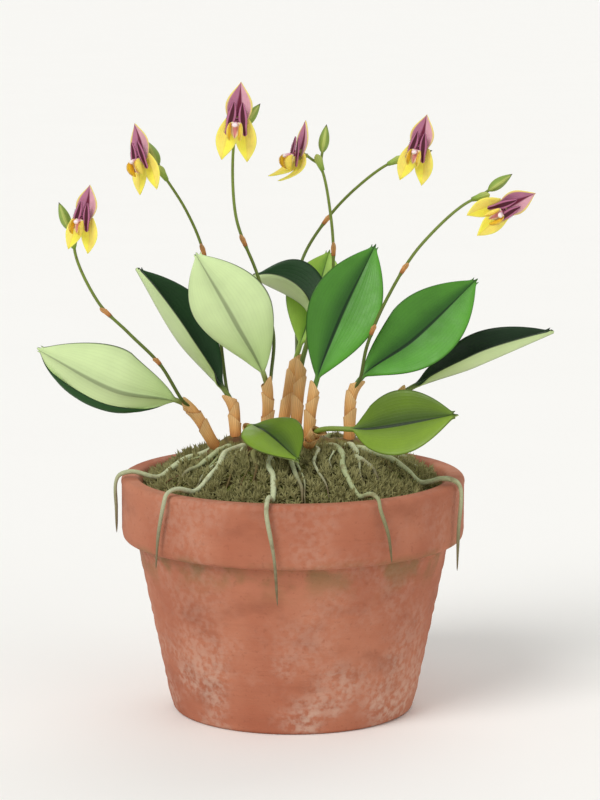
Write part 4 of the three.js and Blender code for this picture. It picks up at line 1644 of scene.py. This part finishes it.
@dataclass(frozen=True)
class Shoot:
    """One leafy shoot: the stem in its papery sheath, and the leaf that it carries."""

    foot: tuple[float, float]  # where it stands on the rhizome
    mouth: Point  # the sheath's mouth, where the leaf's stalk comes out
    middle: Point
    tip: Point
    face: Point  # the way that the leaf's upper side looks
    width: float
    petiole: float  # the share of the way to the tip where the blade starts
    fold: float  # how steeply its halves rise from the midrib
    tone: LeafTone
    stem: float = 0.44  # the stem's radius
    thick: float = 0.62
    tooth: float = 0.22  # how far the teeth at the tip stand ahead
    tip_width: float = 0.62  # the least half width near the tip
    belly: float = 1.1  # more moves the widest part toward the tip
    fullness: float = 0.88  # less gives a fuller outline
    trough: float = 1.4  # 1 is a sharp fold, and more is a round trough
    wave: float = 0.16  # how far the margins wave
    rolled: tuple[int, float] = (1, 0.0)  # the side that rolls back, and how much of it does
    roll_turn: float = 2.8  # how far the margin turns over, in radians
    roll_radius: float = 0.5  # how tightly it does
    per_face: int = 20
    tube_spans: tuple[tuple[float, float], ...] = ((0.0, 0.5), (0.36, 0.8), (0.62, 1.05))
    tube_radii: tuple[float, float] = (0.96, 1.1)  # at a tube's foot and at its mouth
    paper: float = 0.11
    tube_ribs: int = 11
    tube_stations: int = 18
    tube_sides: int = 44
    sunk: float = 0.6  # how deep its foot stands in the rhizome
    lip: float = 1.7  # how far a tube's lip is drawn out

    def line(self, creeper: Creeper) -> Line:
        """Return the shoot's line from its seat on the rhizome to the leaf's tip."""
        return Line((creeper.seat(self.foot, self.sunk), self.mouth, self.middle, self.tip))

    def build(self, number: int, creeper: Creeper, paper: Material) -> None:
        """Build the leaf and its sheath.

        Args:
            number: The shoot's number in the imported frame.
            creeper: The rhizome that it stands on.
            paper: The sheath's material.
        """
        line = self.line(creeper)
        self.build_leaf(number, line)
        self.build_sheath(number, line, paper)

    def build_leaf(self, number: int, line: Line) -> None:
        """Build the stem, the petiole and the blade as one piece.

        Args:
            number: The shoot's number.
            line: Its line.
        """
        start = mix(MOUTH, 1, self.petiole)
        inner = np.concatenate([np.linspace(0, 0.96, 60), [0.972, 0.981, 0.988, 0.994, 1.0]])
        t = np.concatenate([np.linspace(0, start, 18)[:-1], mix(start, 1, inner)])
        v = (t - start) / (1 - start)
        in_blade = smooth(v, -0.01, 0.13)
        u = np.clip(v, 0, 1)
        swell = self.width / 2 * np.sin(np.pi * u**self.belly).clip(0) ** self.fullness
        flat = np.maximum(swell, np.where(u > 0.5, self.tip_width, self.stem))
        half = flat * mix(1, math.sqrt(1 - self.fold**2), in_blade)

        def section(s: np.ndarray) -> tuple[np.ndarray, np.ndarray]:
            """Raise the sides from the midrib, wave the margins and roll one over.

            Args:
                s: Places across the blade, from -1 to 1.

            Returns:
                How far out and how far up each place lies, by station.
            """
            rise = self.fold * flat[:, None] * np.abs(s) ** self.trough
            waves = self.wave * np.sin(8 * u[:, None] + 3 * np.sign(s) + number) * np.abs(s) ** 3
            across, up = half[:, None] * s, (rise + waves) * in_blade[:, None]
            side, share = self.rolled
            past = np.maximum(0, s * side - (1 - share)) * flat[:, None] * in_blade[:, None]
            turn = np.minimum(past / self.roll_radius, self.roll_turn)
            flap = past - turn * self.roll_radius
            out = self.roll_radius * np.sin(turn) + flap * np.cos(turn)
            down = self.roll_radius * (1 - np.cos(turn)) + flap * np.sin(turn)
            return across + side * (out - past), up - down

        def relief(s: np.ndarray, side_of: np.ndarray) -> np.ndarray:
            """Sink the midrib above and raise it below."""
            return np.where(side_of > 0, -0.2 * near(s, 0.05), -0.3 * near(s, 0.07)) * in_blade[:, None]

        places = blade_places(self.per_face)[0]
        teeth = self.tooth * np.cos(2 * np.pi * places) + 0.35 * near(places, 0.35)
        blade = Blade(
            spine=line.at(t),
            way=line.way(t),
            face=np.array(self.face),
            thick=mix(2 * self.stem, self.thick, in_blade),
            roundness=mix(2.0, 6.0, in_blade),
            section=section,
            relief=relief,
            ahead=smooth(v, 0.96, 1.0)[:, None] * teeth[None],
            per_face=self.per_face,
        )
        finish = LEAF_FINISHES[self.tone]
        dress = [bpy.data.materials.get(f"{finish.name}_leaf_{side}") for side in ("upper", "under")]
        if None in dress:
            dress = [finish.upper(), finish.lower()]
        leaf = loft(f"orchid_leaf_{number}", blade.rows(), dress, blade.marks(v), under_from=self.per_face)
        finish_piece(leaf, [f"leaf_{number}"])

    def build_sheath(self, number: int, line: Line, paper: Material) -> None:
        """Build three papery tubes, each with its foot inside the one below and a pointed lip.

        Args:
            number: The shoot's number.
            line: Its line.
            paper: The material.
        """
        tubes = []
        for k, (low, high) in enumerate(self.tube_spans):
            opening = np.linspace(0, 1, self.tube_stations)
            side = 1 if (k + number) % 2 else -1
            path = Path(line.at(mix(low, high, opening) * MOUTH), (side, -0.7, 0.1))
            radius = mix(self.tube_radii[0], self.tube_radii[1], opening**2) - 0.05 * k
            rows = sleeve_rows(path, radius, self.paper, self.lip, self.tube_ribs, self.tube_sides)
            tubes.append(loft("tube", rows, [paper]))
        sheath = joined(f"papery_sheath_{number}", tubes)
        finish_piece(sheath, [f"sheath_{number}"], by_angle=True)


@dataclass(frozen=True)
class Stalk:
    """Where a flowering stem runs and how its flower stands."""

    shoot: int  # the place of its shoot in SHOOTS
    side: Point  # the side of the shoot on which it starts
    via: tuple[Point, ...]
    node: Point
    bracts: tuple[float, float]  # where they are, as shares of its length
    bud: Point  # the way that the bud points
    at: Point  # the middle of the flower
    up: Point  # the way that the upper sepal points
    facing: Point  # the way that the flower looks
    reach: float  # how far the lower sepals' tips come forward
    size: float

    def axes(self) -> np.ndarray:
        """Work out the flower's own right, up and facing ways.

        Returns:
            One a row.
        """
        z = unit(np.array(self.facing))
        y = np.array(self.up) - z * (np.array(self.up) @ z)
        y = unit(y)
        return np.array([np.cross(y, z), y, z])

    def place(self, points: np.ndarray) -> np.ndarray:
        """Move points from the flower's own frame to the plant's."""
        return np.array(self.at) + self.size * (points @ self.axes())


@dataclass(frozen=True)
class FlowerStem:
    """A flowering stem with its bracts and its bud."""

    stalk: Stalk
    base: float = 0.3  # its radius at its foot
    end: float = 0.23  # its radius at the flower
    clear: float = 0.8  # how far it starts from its shoot
    above_mouth: float = -0.4  # how far above the sheath's mouth that is
    away: tuple[float, float] = (1.6, 0.5)  # how far along and away from the shoot it heads first
    behind: Point = (0.0, -0.7, -2.6)  # where it comes up to the flower, in the flower's frame
    seat: float = 1.34  # how far behind the flower's middle it ends
    bract: float = 1.7  # a bract's length
    lean: float = 0.7  # how far its mouth leans out
    bud_stalk: float = 2.2
    bud_length: float = 4.9
    bud_radius: float = 0.88
    stations: int = 150
    sides: int = 12
    funnel_sides: int = 30  # faces round a bract or a bud
    bud_stations: int = 44

    def line(self, shoot_line: Line) -> Line:
        """Run the stem from beside its shoot past its node to the back of the flower.

        Args:
            shoot_line: The line of the shoot that it grows beside.

        Returns:
            The stem's line.
        """
        share = np.array([MOUTH])
        along = shoot_line.way(share)[0]
        side = np.array(self.stalk.side)
        side = unit(side - along * (side @ along))
        start = shoot_line.at(share)[0] + side * self.clear + along * self.above_mouth
        away = start + along * self.away[0] + side * self.away[1]
        back = self.stalk.place(np.array([self.behind, (0, 0, -self.seat)]))
        points = [start, away, *self.stalk.via, self.stalk.node, back[0], back[1]]
        return Line(tuple(tuple(float(c) for c in p) for p in points))

    def build(self, number: int, shoot_line: Line, dress: Dress) -> None:
        """Build the stem, its bracts and its bud.

        Args:
            number: The stem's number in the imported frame.
            shoot_line: The line of its shoot.
            dress: The materials by name.
        """
        line = self.line(shoot_line)
        t = np.linspace(0, 1, self.stations)
        knots = sum(near(t - share, 0.008) for share in self.stalk.bracts)
        radius = mix(self.base, self.end, t) * (1 + 0.3 * knots) * np.sqrt(np.clip(1 - (1 - t) ** 90, 0.3, 1))
        rows = tube_rows(Path(line.at(line.shares_of_length(t))), radius, self.sides)
        pieces = [loft("stem", rows, [dress["stem"]])]
        for share in self.stalk.bracts:
            pieces.append(self.bract_at(line, share, dress["bract"]))
        pieces.append(self.floral_bract(line, dress["floral_bract"]))
        pieces += self.buds(dress)
        stem = joined(f"flowering_stem_{number}", pieces)
        finish_piece(stem, [f"flower_stem_{number}"], by_angle=True)

    def bract_at(self, line: Line, share: float, paper: Material) -> Piece:
        """Wrap a pointed papery bract round the stem, leaning out at the top.

        Args:
            line: The stem's line.
            share: Where it is, as a share of the line's length.
            paper: Its material.

        Returns:
            The bract.
        """
        place = line.shares_of_length(np.array([share]))
        foot, way = line.at(place)[0], line.way(place)[0]
        out = unit(np.array([0, -1, 0]) + way * way[1])
        q = np.linspace(0, 1, 14)[:, None]
        points = foot + way * (q * self.bract) + out * (q**2 * self.lean)
        radius = 0.36 + 0.08 * q[:, 0]
        rows = sleeve_rows(Path(points, out), radius, 0.08, 2.4, 7, self.funnel_sides)
        return loft("bract", rows, [paper])

    def floral_bract(self, line: Line, green: Material) -> Piece:
        """Set the green funnel at the node, out of which the bud and the flower's stalk grow.

        Args:
            line: The stem's line.
            green: Its material.

        Returns:
            The funnel.
        """
        node = np.array(self.stalk.node)
        fine = np.linspace(0, 1, 400)
        share = fine[np.argmin(np.linalg.norm(line.at(fine) - node, axis=1))]
        way = line.way(np.array([share]))[0]
        lead = unit(way + unit(np.array(self.stalk.bud)))
        q = np.linspace(0, 1, 12)[:, None]
        points = node - way * 0.9 + way * (q * 1.2) + lead * (q**1.5 * 1.1)
        radius = 0.36 + 0.34 * q[:, 0]
        rows = sleeve_rows(Path(points), radius, 0.1, 1.5, 6, self.funnel_sides)
        return loft("floral_bract", rows, [green])

    def buds(self, dress: Dress) -> list[Piece]:
        """Build the next flower's bud on its own short stalk.

        Args:
            dress: The materials by name.

        Returns:
            The stalk and the bud.
        """
        node, way = np.array(self.stalk.node), unit(np.array(self.stalk.bud))
        q = np.linspace(0, 1, 12)[:, None]
        foot = Path(node + way * (q * (self.bud_stalk + 0.3)))
        stalk = loft("bud_stalk", tube_rows(foot, np.full(12, 0.24), 10), [dress["stem"]])
        t = np.linspace(0, 1, self.bud_stations)
        body = Path(node + way * (self.bud_stalk + t[:, None] * self.bud_length))
        swell = np.sin(np.pi * np.minimum(t, 0.985) ** 0.78) ** 0.85
        lobes = 1 + 0.09 * np.cos(3 * full_turn(self.funnel_sides))
        radius = np.maximum(swell * self.bud_radius, 0.05)[:, None] * lobes[None]
        return [stalk, loft("bud", tube_rows(body, radius, self.funnel_sides), [dress["bud"]])]


def ovate(width: float, widest: float, base: float, tail: float) -> Callable[[np.ndarray], np.ndarray]:
    """Make the outline of an egg-shaped, pointed blade.

    Args:
        width: Its greatest width.
        widest: The share of its length where that is.
        base: Its width at the foot, as a share of the greatest.
        tail: 1 for a plain point, and more for a drawn-out one.

    Returns:
        A function that gives its half width at shares of its length.
    """

    def outline(t: np.ndarray) -> np.ndarray:
        """Work out the half width along the blade.

        Args:
            t: Shares of the length.

        Returns:
            The half width at each.
        """
        rising = base + (1 - base) * np.sin(np.pi * np.minimum(t, widest) / (2 * widest))
        falling = np.cos(np.pi * (np.maximum(t, widest) - widest) / (2 * (1 - widest))).clip(0) ** tail
        return width / 2 * np.where(t < widest, rising, falling)

    return outline


def waisted(t: np.ndarray) -> np.ndarray:
    """Return the half width of the bridge between two petals, narrowest at its middle."""
    return 0.34 - 0.1 * np.sin(np.pi * t)


def strap(t: np.ndarray) -> np.ndarray:
    """Make a petal's outline: a pointed upper lobe that widens to the middle, and a blunt lower one.

    Args:
        t: Shares of its length.

    Returns:
        The half width at each.
    """
    upper = mix(0.1, 0.7, np.sin(np.pi / 2 * np.minimum(t / 0.52, 1)))
    lower = mix(1.0, 0.56, smooth(t, 0.52, 0.88))
    return upper * lower * domed(t, 0.88)


@dataclass(frozen=True)
class Flower:
    """An open flower, made in its own frame: X to its right, Y up its dorsal sepal, Z out of its face."""

    stalk: Stalk
    dorsal: tuple[float, float, float] = (6.4, 4.3, 0.9)  # length, width, hollow
    lateral_top: tuple[float, float] = (0.85, 0.4)
    lateral_middle: tuple[float, float] = (1.82, -3.05)
    lateral_tip: tuple[float, float] = (2.02, -6.1)
    lateral_width: float = 3.35
    petal_depth: float = 1.0
    lip_depth: float = 1.9
    lip_reach: float = 1.6
    plate_height: float = 2.9
    plate_spread: float = 0.82  # how far out its plates are at their ends
    plate_bulge: float = 0.94  # and in their middle
    keel: tuple[float, float] = (2.5, 1.9)  # length, width
    sepal_thick: float = 0.34
    petal_thick: float = 0.3
    keel_thick: float = 0.36
    petal_hairs: float = 0.34  # how long the hairs on the petals are
    lip_hairs: float = 0.26
    hair: tuple[float, float] = (0.038, 1.0)  # the radius and length of a hair before it is scaled
    cap_from: float = 0.86  # where the rounded ends of the ovary and the column start
    stations: int = 45  # points along a sepal or petal
    per_face: int = 12  # faces across one
    ring_sides: int = 24  # faces round a plate of the lip or the column
    ovary: tuple[float, float] = (-1.5, 0.16)  # where it starts and ends behind the flower
    ovary_sides: int = 30
    uneven: float = 0.22  # how far hairs lean at random

    def petal_like(
        self,
        name: str,
        points: Sequence[Point],
        width: Callable[[np.ndarray], np.ndarray],
        thick: float,
        cup: float,
        finish: Material,
        keel: float = 0.0,
    ) -> tuple[Piece, np.ndarray]:
        """Build a blade along a bend through three points of the flower's frame.

        Args:
            name: The blade's name.
            points: Where it starts, where it heads and where it ends.
            width: Its half width at each share of its length.
            thick: How thick it is in the middle.
            cup: How far its sides rise for each unit of half width.
            finish: Its material.
            keel: How far its midrib stands out at the back.

        Returns:
            The blade, and its points in the flower's frame.
        """
        t = np.linspace(0, 1, self.stations)
        p0, p1, p2 = (np.array(p, dtype=float) for p in points)
        q = t[:, None]
        spine = p0 * (1 - q) ** 2 + 2 * p1 * q * (1 - q) + p2 * q**2
        way = unit(2 * (1 - q) * (p1 - p0) + 2 * q * (p2 - p1))
        half = np.maximum(width(t), LEAST)

        def section(s: np.ndarray) -> tuple[np.ndarray, np.ndarray]:
            """Cup the blade."""
            return half[:, None] * s, cup * half[:, None] * s**2

        def relief(s: np.ndarray, side_of: np.ndarray) -> np.ndarray:
            """Sink its middle and give its back a keel."""
            return -keel * np.where(side_of < 0, near(s, 0.12), 0.6 * near(s, 0.09)) * (1 - q * 0.7)

        body = np.minimum(thick, 1.2 * half + 0.03)
        face, round_edge = np.array([0.0, 0.0, 1.0]), np.full(self.stations, 3.5)
        blade = Blade(spine, way, face, body, round_edge, section, relief, per_face=self.per_face)
        rows = blade.rows()
        return loft(name, self.stalk.place(rows), [finish], blade.marks(t)), rows

    def build(self, number: int, dress: Dress) -> None:
        """Build the three pieces of the flower.

        Args:
            number: The flower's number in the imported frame.
            dress: The materials by name.
        """
        self.build_sepals(number, dress)
        self.build_petals(number, dress)
        self.build_lip(number, dress)

    def build_sepals(self, number: int, dress: Dress) -> None:
        """Build the dorsal sepal, the two joined lower ones and the ovary behind them.

        Args:
            number: The flower's number.
            dress: The materials by name.
        """
        length, width, hollow = self.dorsal
        points = [(0, -0.2, 0), (0, length / 2, -hollow), (0, length, 0)]
        outline = ovate(width, 0.4, 0.55, 1.12)
        pieces = [self.petal_like("dorsal", points, outline, self.sepal_thick, 0.2, dress["dorsal"], 0.12)[0]]
        reach = self.stalk.reach
        for side, finish in ((-1, dress["left"]), (1, dress["right"])):
            top = (self.lateral_top[0] * side, self.lateral_top[1], 0)
            middle = (self.lateral_middle[0] * side, self.lateral_middle[1], -0.25 - reach / 5)
            tip = (self.lateral_tip[0] * side, self.lateral_tip[1] + 0.3 * reach, reach)
            outline = ovate(self.lateral_width, 0.42, 0.6, 1.0)
            points = [top, middle, tip]
            pieces.append(self.petal_like("lateral", points, outline, self.sepal_thick, 0.12, finish, 0.1)[0])
        z = np.linspace(*self.ovary, self.ovary_sides)
        t = (z - z[0]) / (z[-1] - z[0])
        radius = (0.38 + 0.62 * smooth(t, 0.15, 0.85)) * domed(t, self.cap_from)
        ribs = 1 + 0.06 * np.cos(6 * full_turn(self.ovary_sides))
        core = Path(self.stalk.place(np.stack([0 * z, -0.05 + 0 * z, z], axis=1)), self.stalk.axes()[1])
        radius = np.maximum(radius, LEAST)[:, None] * ribs[None] * self.stalk.size
        rows = tube_rows(core, radius, self.ovary_sides)
        pieces.append(loft("ovary", rows, [dress["ovary"]]))
        finish_piece(joined(f"bloom_{number}_sepals", pieces), [f"sepals_{number}"])

    def build_petals(self, number: int, dress: Dress) -> None:
        """Build the two petals, the bridge between them and the hairs along their margins.

        Args:
            number: The flower's number.
            dress: The materials by name.
        """
        depth, pieces, margins, outward = self.petal_depth, [], [], []
        for side in (-1, 1):
            high, middle = (0.68 * side, 3.2, depth + 0.1), (0.72 * side, 0.9, depth - 0.05)
            points = [high, middle, (1.52 * side, -2.02, depth + 0.2)]
            blade, rows = self.petal_like("petal", points, strap, self.petal_thick, 0.16, dress["petal"])
            pieces.append(blade)
            for column, sign in ((0, -1), (self.per_face, 1)):
                margins.append(rows[2:-2, column])
                outward.append(unit(rows[2:-2, self.per_face] - rows[2:-2, 0]) * sign)
        bridge = [(-0.95, 0.45, depth), (0, 0.62, depth - 0.1), (0.95, 0.45, depth)]
        pieces.append(self.petal_like("bridge", bridge, waisted, self.petal_thick, 0.1, dress["petal"])[0])
        rng = np.random.default_rng(20 + number)
        feet, ways = np.concatenate(margins), np.concatenate(outward)
        pieces.append(self.hairs(feet, ways, self.petal_hairs, dress["petal_hair"], rng))
        finish_piece(joined(f"bloom_{number}_petals", pieces), [f"petals_{number}"])

    def build_lip(self, number: int, dress: Dress) -> None:
        """Build the two plates of the lip, the keel below and the column between them.

        Args:
            number: The flower's number.
            dress: The materials by name.
        """
        pieces, feet, ways = [], [], []
        q = np.linspace(-1, 1, 41)
        angle = full_turn(self.ring_sides)
        for side in (-1, 1):
            deep = self.lip_reach / 2 * np.sqrt(np.clip(1 - q**2, 0, 1)) ** 1.1 * (1 - 0.12 * q)
            thick = 0.35 * np.clip(1 - q**2, 0, 1) ** 0.62
            x = side * (self.plate_spread + (self.plate_bulge - self.plate_spread) * (1 - q**2))
            y = -0.1 - self.plate_height / 2 * (1 + q) + 0.15
            z = self.lip_depth + deep
            ring_x = x[:, None] + thick[:, None] * np.cos(angle) * side
            ring_z = z[:, None] + deep[:, None] * np.sin(angle)
            rows = np.stack(np.broadcast_arrays(ring_x, y[:, None], ring_z), axis=-1)
            pieces.append(loft("plate", self.stalk.place(rows), [dress["plate"]]))
            for column in (4, 6, 8):
                foot, middle = rows[4:-4, column], np.stack([x, y, z], axis=1)[4:-4]
                feet.append(foot)
                ways.append(unit(foot - middle + np.array([0, 0, 0.3])))
        depth, (length, width) = self.lip_depth, self.keel
        points = [(0, 0.1, depth), (0, -length / 2, depth + 0.1), (0, -length, depth + 0.25)]
        outline = ovate(width, 0.35, 0.8, 1.1)
        keel, rows = self.petal_like("keel", points, outline, self.keel_thick, -0.2, dress["keel"])
        pieces.append(keel)
        feet.append(rows[30:-2, self.per_face // 2])
        ways.append(np.tile([0.0, -0.5, 0.8], (len(feet[-1]), 1)))
        pieces.append(self.column(dress["column"]))
        rng = np.random.default_rng(40 + number)
        all_feet, all_ways = np.concatenate(feet), np.concatenate(ways)
        pieces.append(self.hairs(all_feet, all_ways, self.lip_hairs, dress["lip_hair"], rng))
        finish_piece(joined(f"bloom_{number}_lip", pieces), [f"lip_{number}"])

    def column(self, finish: Material) -> Piece:
        """Build the column, from the middle of the sepals to its rounded cap.

        Args:
            finish: Its material.

        Returns:
            The column.
        """
        t = np.linspace(0, 1, 40)
        points = np.stack([0 * t, 0.1 - 0.5 * t, 0.05 + 3.4 * t], axis=1)
        waist = 0.3 + 0.12 * smooth(t, 0.35, 0.8)
        radius = waist * domed(t, self.cap_from)
        cap = 1 + 0.12 * np.cos(2 * full_turn(self.ring_sides))[None] * smooth(t, 0.75, 0.9)[:, None]
        path = Path(self.stalk.place(points), self.stalk.axes()[0])
        rows = tube_rows(path, np.maximum(radius, LEAST)[:, None] * cap * self.stalk.size, self.ring_sides)
        return loft("column", rows, [finish])

    def hairs(
        self,
        feet: np.ndarray,
        ways: np.ndarray,
        length: float,
        finish: Material,
        rng: np.random.Generator,
    ) -> Piece:
        """Set short stiff hairs on a margin.

        Args:
            feet: Where they stand, in the flower's frame.
            ways: The ways that they point.
            length: How long the longest is.
            finish: Their material.
            rng: The seeded source of their unevenness.

        Returns:
            The hairs as one piece.
        """
        count = len(feet)
        turned = (ways + rng.normal(0, self.uneven, ways.shape)) @ self.stalk.axes()
        lengths = rng.uniform(0.6, 1.0, count) * length
        places = self.stalk.place(feet - 0.03 * ways)
        axes = aimed(turned, rng.uniform(0, ANY_TURN, count), lengths, np.ones(count))
        return spread("hairs", spike(*self.hair), places, axes, finish)


@dataclass(frozen=True)
class Studio:
    """The pale floor, the soft lights and the camera."""

    floor_radius: float = 9000.0
    floor_sides: int = 64
    floor: Colour = (251, 250, 246)
    world: float = 0.46
    aim: Point = (1.2, 0.0, 52.6)
    elevation: float = 9.0
    distance: float = 505.0
    lens: float = 135.0
    far: float = 30.0  # how far the camera sees, in metres
    # each light's name, the way to it, how wide it is in degrees and its strength
    lights: tuple[tuple[str, Point, float, float], ...] = (
        ("key", (-825.0, -1050.0, 1250.0), 30.0, 1.65),
        ("fill", (1150.0, -900.0, 500.0), 60.0, 0.5),
        ("back", (300.0, 1050.0, 1000.0), 50.0, 0.6),
    )

    def build(self) -> None:
        """Build the floor, the lights and the camera."""
        bpy.ops.object.select_all(action="DESELECT")
        bpy.ops.mesh.primitive_circle_add(
            vertices=self.floor_sides, radius=self.floor_radius * MM, fill_type="NGON"
        )
        floor = bpy.context.active_object
        floor.name = "floor"
        paint = Paint("floor_paint", {"Roughness": 0.9, "Specular IOR Level": 0.1})
        colour = paint.shade(rgb(self.floor), paint.noise(60.0, 2.0), 0.99, 1.01)
        floor.data.materials.append(paint.done(colour))
        for name, place, width, strength in self.lights:
            lamp = bpy.data.lights.new(name, "SUN")
            lamp.angle = math.radians(width)
            lamp.energy = strength
            self.put(bpy.data.objects.new(name, lamp), place)
        camera = bpy.data.cameras.new("camera")
        camera.lens = self.lens
        camera.clip_end = self.far
        tilt = math.radians(self.elevation)
        away = (0, -self.distance * math.cos(tilt), self.distance * math.sin(tilt))
        place = tuple(a + b for a, b in zip(self.aim, away))
        bpy.context.scene.camera = self.put(bpy.data.objects.new("camera", camera), place)
        self.light_world()

    def put(self, thing: Piece, place: Point) -> Piece:
        """Stand a light or the camera somewhere, looking at the middle of the plant.

        Args:
            thing: The light or the camera.
            place: Where it stands, in millimetres.

        Returns:
            The same thing.
        """
        bpy.context.scene.collection.objects.link(thing)
        thing.location = Vector(place) * MM
        look = (Vector(self.aim) - Vector(place)).to_track_quat("-Z", "Y")
        thing.rotation_euler = look.to_euler()
        return thing

    def light_world(self) -> None:
        """Light everything a little from all round, and show colours as they are."""
        world = bpy.data.worlds.new("studio_world")
        world.use_nodes = True
        background = world.node_tree.nodes["Background"]
        background.inputs["Color"].default_value = (1, 1, 1, 1)
        background.inputs["Strength"].default_value = self.world
        bpy.context.scene.world = world
        bpy.context.scene.view_settings.view_transform = "Standard"


SHOOTS = (
    Shoot((-13, -0.5), (-18, -3, 52.3), (-29.5, -7.5, 55.6), (-41.5, -11, 62.8),
          (-0.1, 0.9, 0.42), 14, 0.08, 0.22, LeafTone.PALE, rolled=(1, 0.36), per_face=36),
    Shoot((-9.6, 0.3), (-10.5, 1.5, 52.3), (-19.2, 3.6, 62.4), (-26, 5, 74),
          (0.7, -0.5, 0.49), 14, 0.1, 0.8, LeafTone.DEEP),
    Shoot((-4.6, -1), (-4.4, -4, 56), (-9.6, -8.8, 67.5), (-15.5, -12.5, 78.5),
          (0.1, 0.9, 0.4), 14, 0.08, 0.25, LeafTone.PALE),
    Shoot((0.4, 1), (1.4, 4.2, 57.5), (2.8, 6.4, 66.8), (-6.4, 8.8, 72.6),
          (0.3, -0.42, 0.85), 12.5, 0.4, 0.8, LeafTone.DEEP),
    Shoot((-2, 4), (0.4, 8.2, 58), (3.4, 11, 67), (6.2, 14.6, 76),
          (-0.05, -0.93, 0.35), 10.5, 0.14, 0.25, LeafTone.BRIGHT),
    Shoot((2.6, -1), (3.6, -0.8, 54.5), (7.8, 1.5, 66), (13.8, 5, 78),
          (0.05, -0.97, 0.2), 12.4, 0.08, 0.28, LeafTone.FRESH),
    Shoot((9.4, 0), (10.6, 0.6, 55), (20.6, 3.2, 62.6), (31, 7, 72),
          (0, -0.93, 0.36), 12.4, 0.08, 0.28, LeafTone.FRESH),
    Shoot((14, 2.4), (18.4, 5.6, 52.6), (31, 8.2, 57.4), (44, 9, 63),
          (-0.33, -0.42, 0.83), 10, 0.1, 0.8, LeafTone.DEEP),
    Shoot((2.6, -5), (4.2, -7.4, 48.6), (13, -11.6, 49.6), (26.4, -17, 52.8),
          (-0.25, -0.85, 0.45), 11.6, 0.34, 0.25, LeafTone.OLIVE),
    Shoot((-6.4, -4.6), (-7.4, -6.8, 49), (-4.4, -12.6, 49.2), (0.8, -18.4, 45.6),
          (0.1, -0.6, 0.8), 10.6, 0.18, 0.22, LeafTone.OLIVE),
)

STALKS = (
    Stalk(0, (0.2, -1, 0.3), ((-22, -7.6, 59.8), (-27, -10.2, 65.4), (-32, -11, 70.8)),
          (-35.7, -10.2, 80.2), (0.24, 0.53), (-0.35, 0, 0.95), (-33.8, -13.4, 84.4), (0.18, 0, 0.98),
          (-0.4, -0.9, 0.05), 0.5, 0.9),
    Stalk(1, (-0.1, 1, 0), ((-12.6, 6, 64), (-15.2, 7.4, 77), (-18, 6, 84)), (-21.6, 4, 90),
          (0.24, 0.56), (-0.42, 0.45, 0.8), (-25, 2, 93), (-0.37, 0, 0.93), (-0.62, -0.78, 0), 0.7, 0.97),
    Stalk(2, (0.8, 0.6, 0), ((-3.2, -3.4, 64), (-5.8, -3.6, 74), (-9.4, -4, 84)), (-9.6, -2.6, 96.8),
          (0.26, 0.52), (0.6, 0.1, 0.8), (-9, -6.4, 99.6), (0.08, 0, 1), (-0.12, -0.99, 0.05), 0.3, 1.05),
    Stalk(5, (0, 1, 0), ((5, 3.6, 62), (6.8, 6.2, 74), (6.4, 7, 83)), (4.6, 7, 91.4),
          (0.29, 0.56), (0.15, 0.1, 0.98), (1.2, 6, 93.4), (0.3, 0, 0.95), (-0.88, -0.46, 0.1), 4.8, 0.93),
    Stalk(4, (0, 1, 0), ((0.6, 13.6, 67), (1.6, 17.4, 74.4), (6, 17.8, 81.6), (11.6, 16, 87.6)),
          (17, 13.8, 91.6), (0.27, 0.53), (0.9, 0.1, 0.25), (21.4, 11.6, 93.8), (0.22, 0, 0.97),
          (-0.28, -0.95, 0.05), 0.5, 0.97),
    Stalk(6, (0.1, -1, 0.2), ((12.4, -1.8, 62), (15.6, -3, 70), (21.4, -4, 79.4)), (30.4, -4.6, 87),
          (0.22, 0.48), (0.82, 0.1, 0.56), (34.4, -6, 85.4), (0.89, 0, 0.46),
          (-0.05, -0.97, -0.22), 1.6, 0.97),
)


def flower_dress() -> Dress:
    """Make the materials that all the flowering stems share.

    Returns:
        The materials by the part that wears them.
    """
    return {
        "stem": StemFinish("stem_skin", (82, 98, 36), (126, 146, 54), (88, 62, 34)).material(),
        "bract": BRACT_FINISH.material(),
        "floral_bract": FLORAL_BRACT_FINISH.material(),
        "bud": BudFinish((140, 168, 66), (186, 198, 104), (74, 66, 36)).material(),
        "dorsal": DORSAL_FINISH.material(),
        "left": LEFT_FINISH.material(),
        "right": RIGHT_FINISH.material(),
        "ovary": StemFinish("ovary_skin", (140, 158, 64), (190, 180, 84), (150, 100, 60)).material(),
        "petal": PetalFinish("petal_velvet", (74, 8, 30), (182, 106, 140), 0.56).material(),
        "petal_hair": HairFinish("petal_hairs", (96, 30, 52), (150, 90, 120)).material(),
        "plate": PetalFinish("lip_gold", (242, 196, 38), (252, 226, 96), 0.5).material(),
        "keel": PetalFinish("lip_keel", (232, 150, 156), (250, 236, 196), 0.34).material(),
        "lip_hair": HairFinish("lip_hairs", (206, 132, 24), (250, 214, 120)).material(),
        "column": ColumnFinish((116, 24, 52), (232, 150, 176), (252, 236, 236)).material(),
    }


def main() -> None:
    """Build the pot, the moss, the roots, the shoots and the flowers, and light them."""
    logging.basicConfig(level=logging.INFO, format="%(message)s")
    pot = ClayPot()
    bed = MossBed(pot)
    creeper = Creeper(bed)
    pot.build()
    roots = creeper.build()
    lines = [shoot.line(creeper) for shoot in SHOOTS]
    stems = [line.at(np.linspace(0, 0.2, 20)) for line in lines]
    bed.build(np.concatenate([roots, *stems]))
    paper = SHEATH_FINISH.material()
    for number, shoot in enumerate(SHOOTS, 1):
        shoot.build(number, creeper, paper)
    dress = flower_dress()
    for number, stalk in enumerate(STALKS, 1):
        FlowerStem(stalk).build(number, lines[stalk.shoot], dress)
        Flower(stalk).build(number, dress)
    Studio().build()
    bpy.ops.object.select_all(action="DESELECT")


if __name__ == "__main__":
    main()
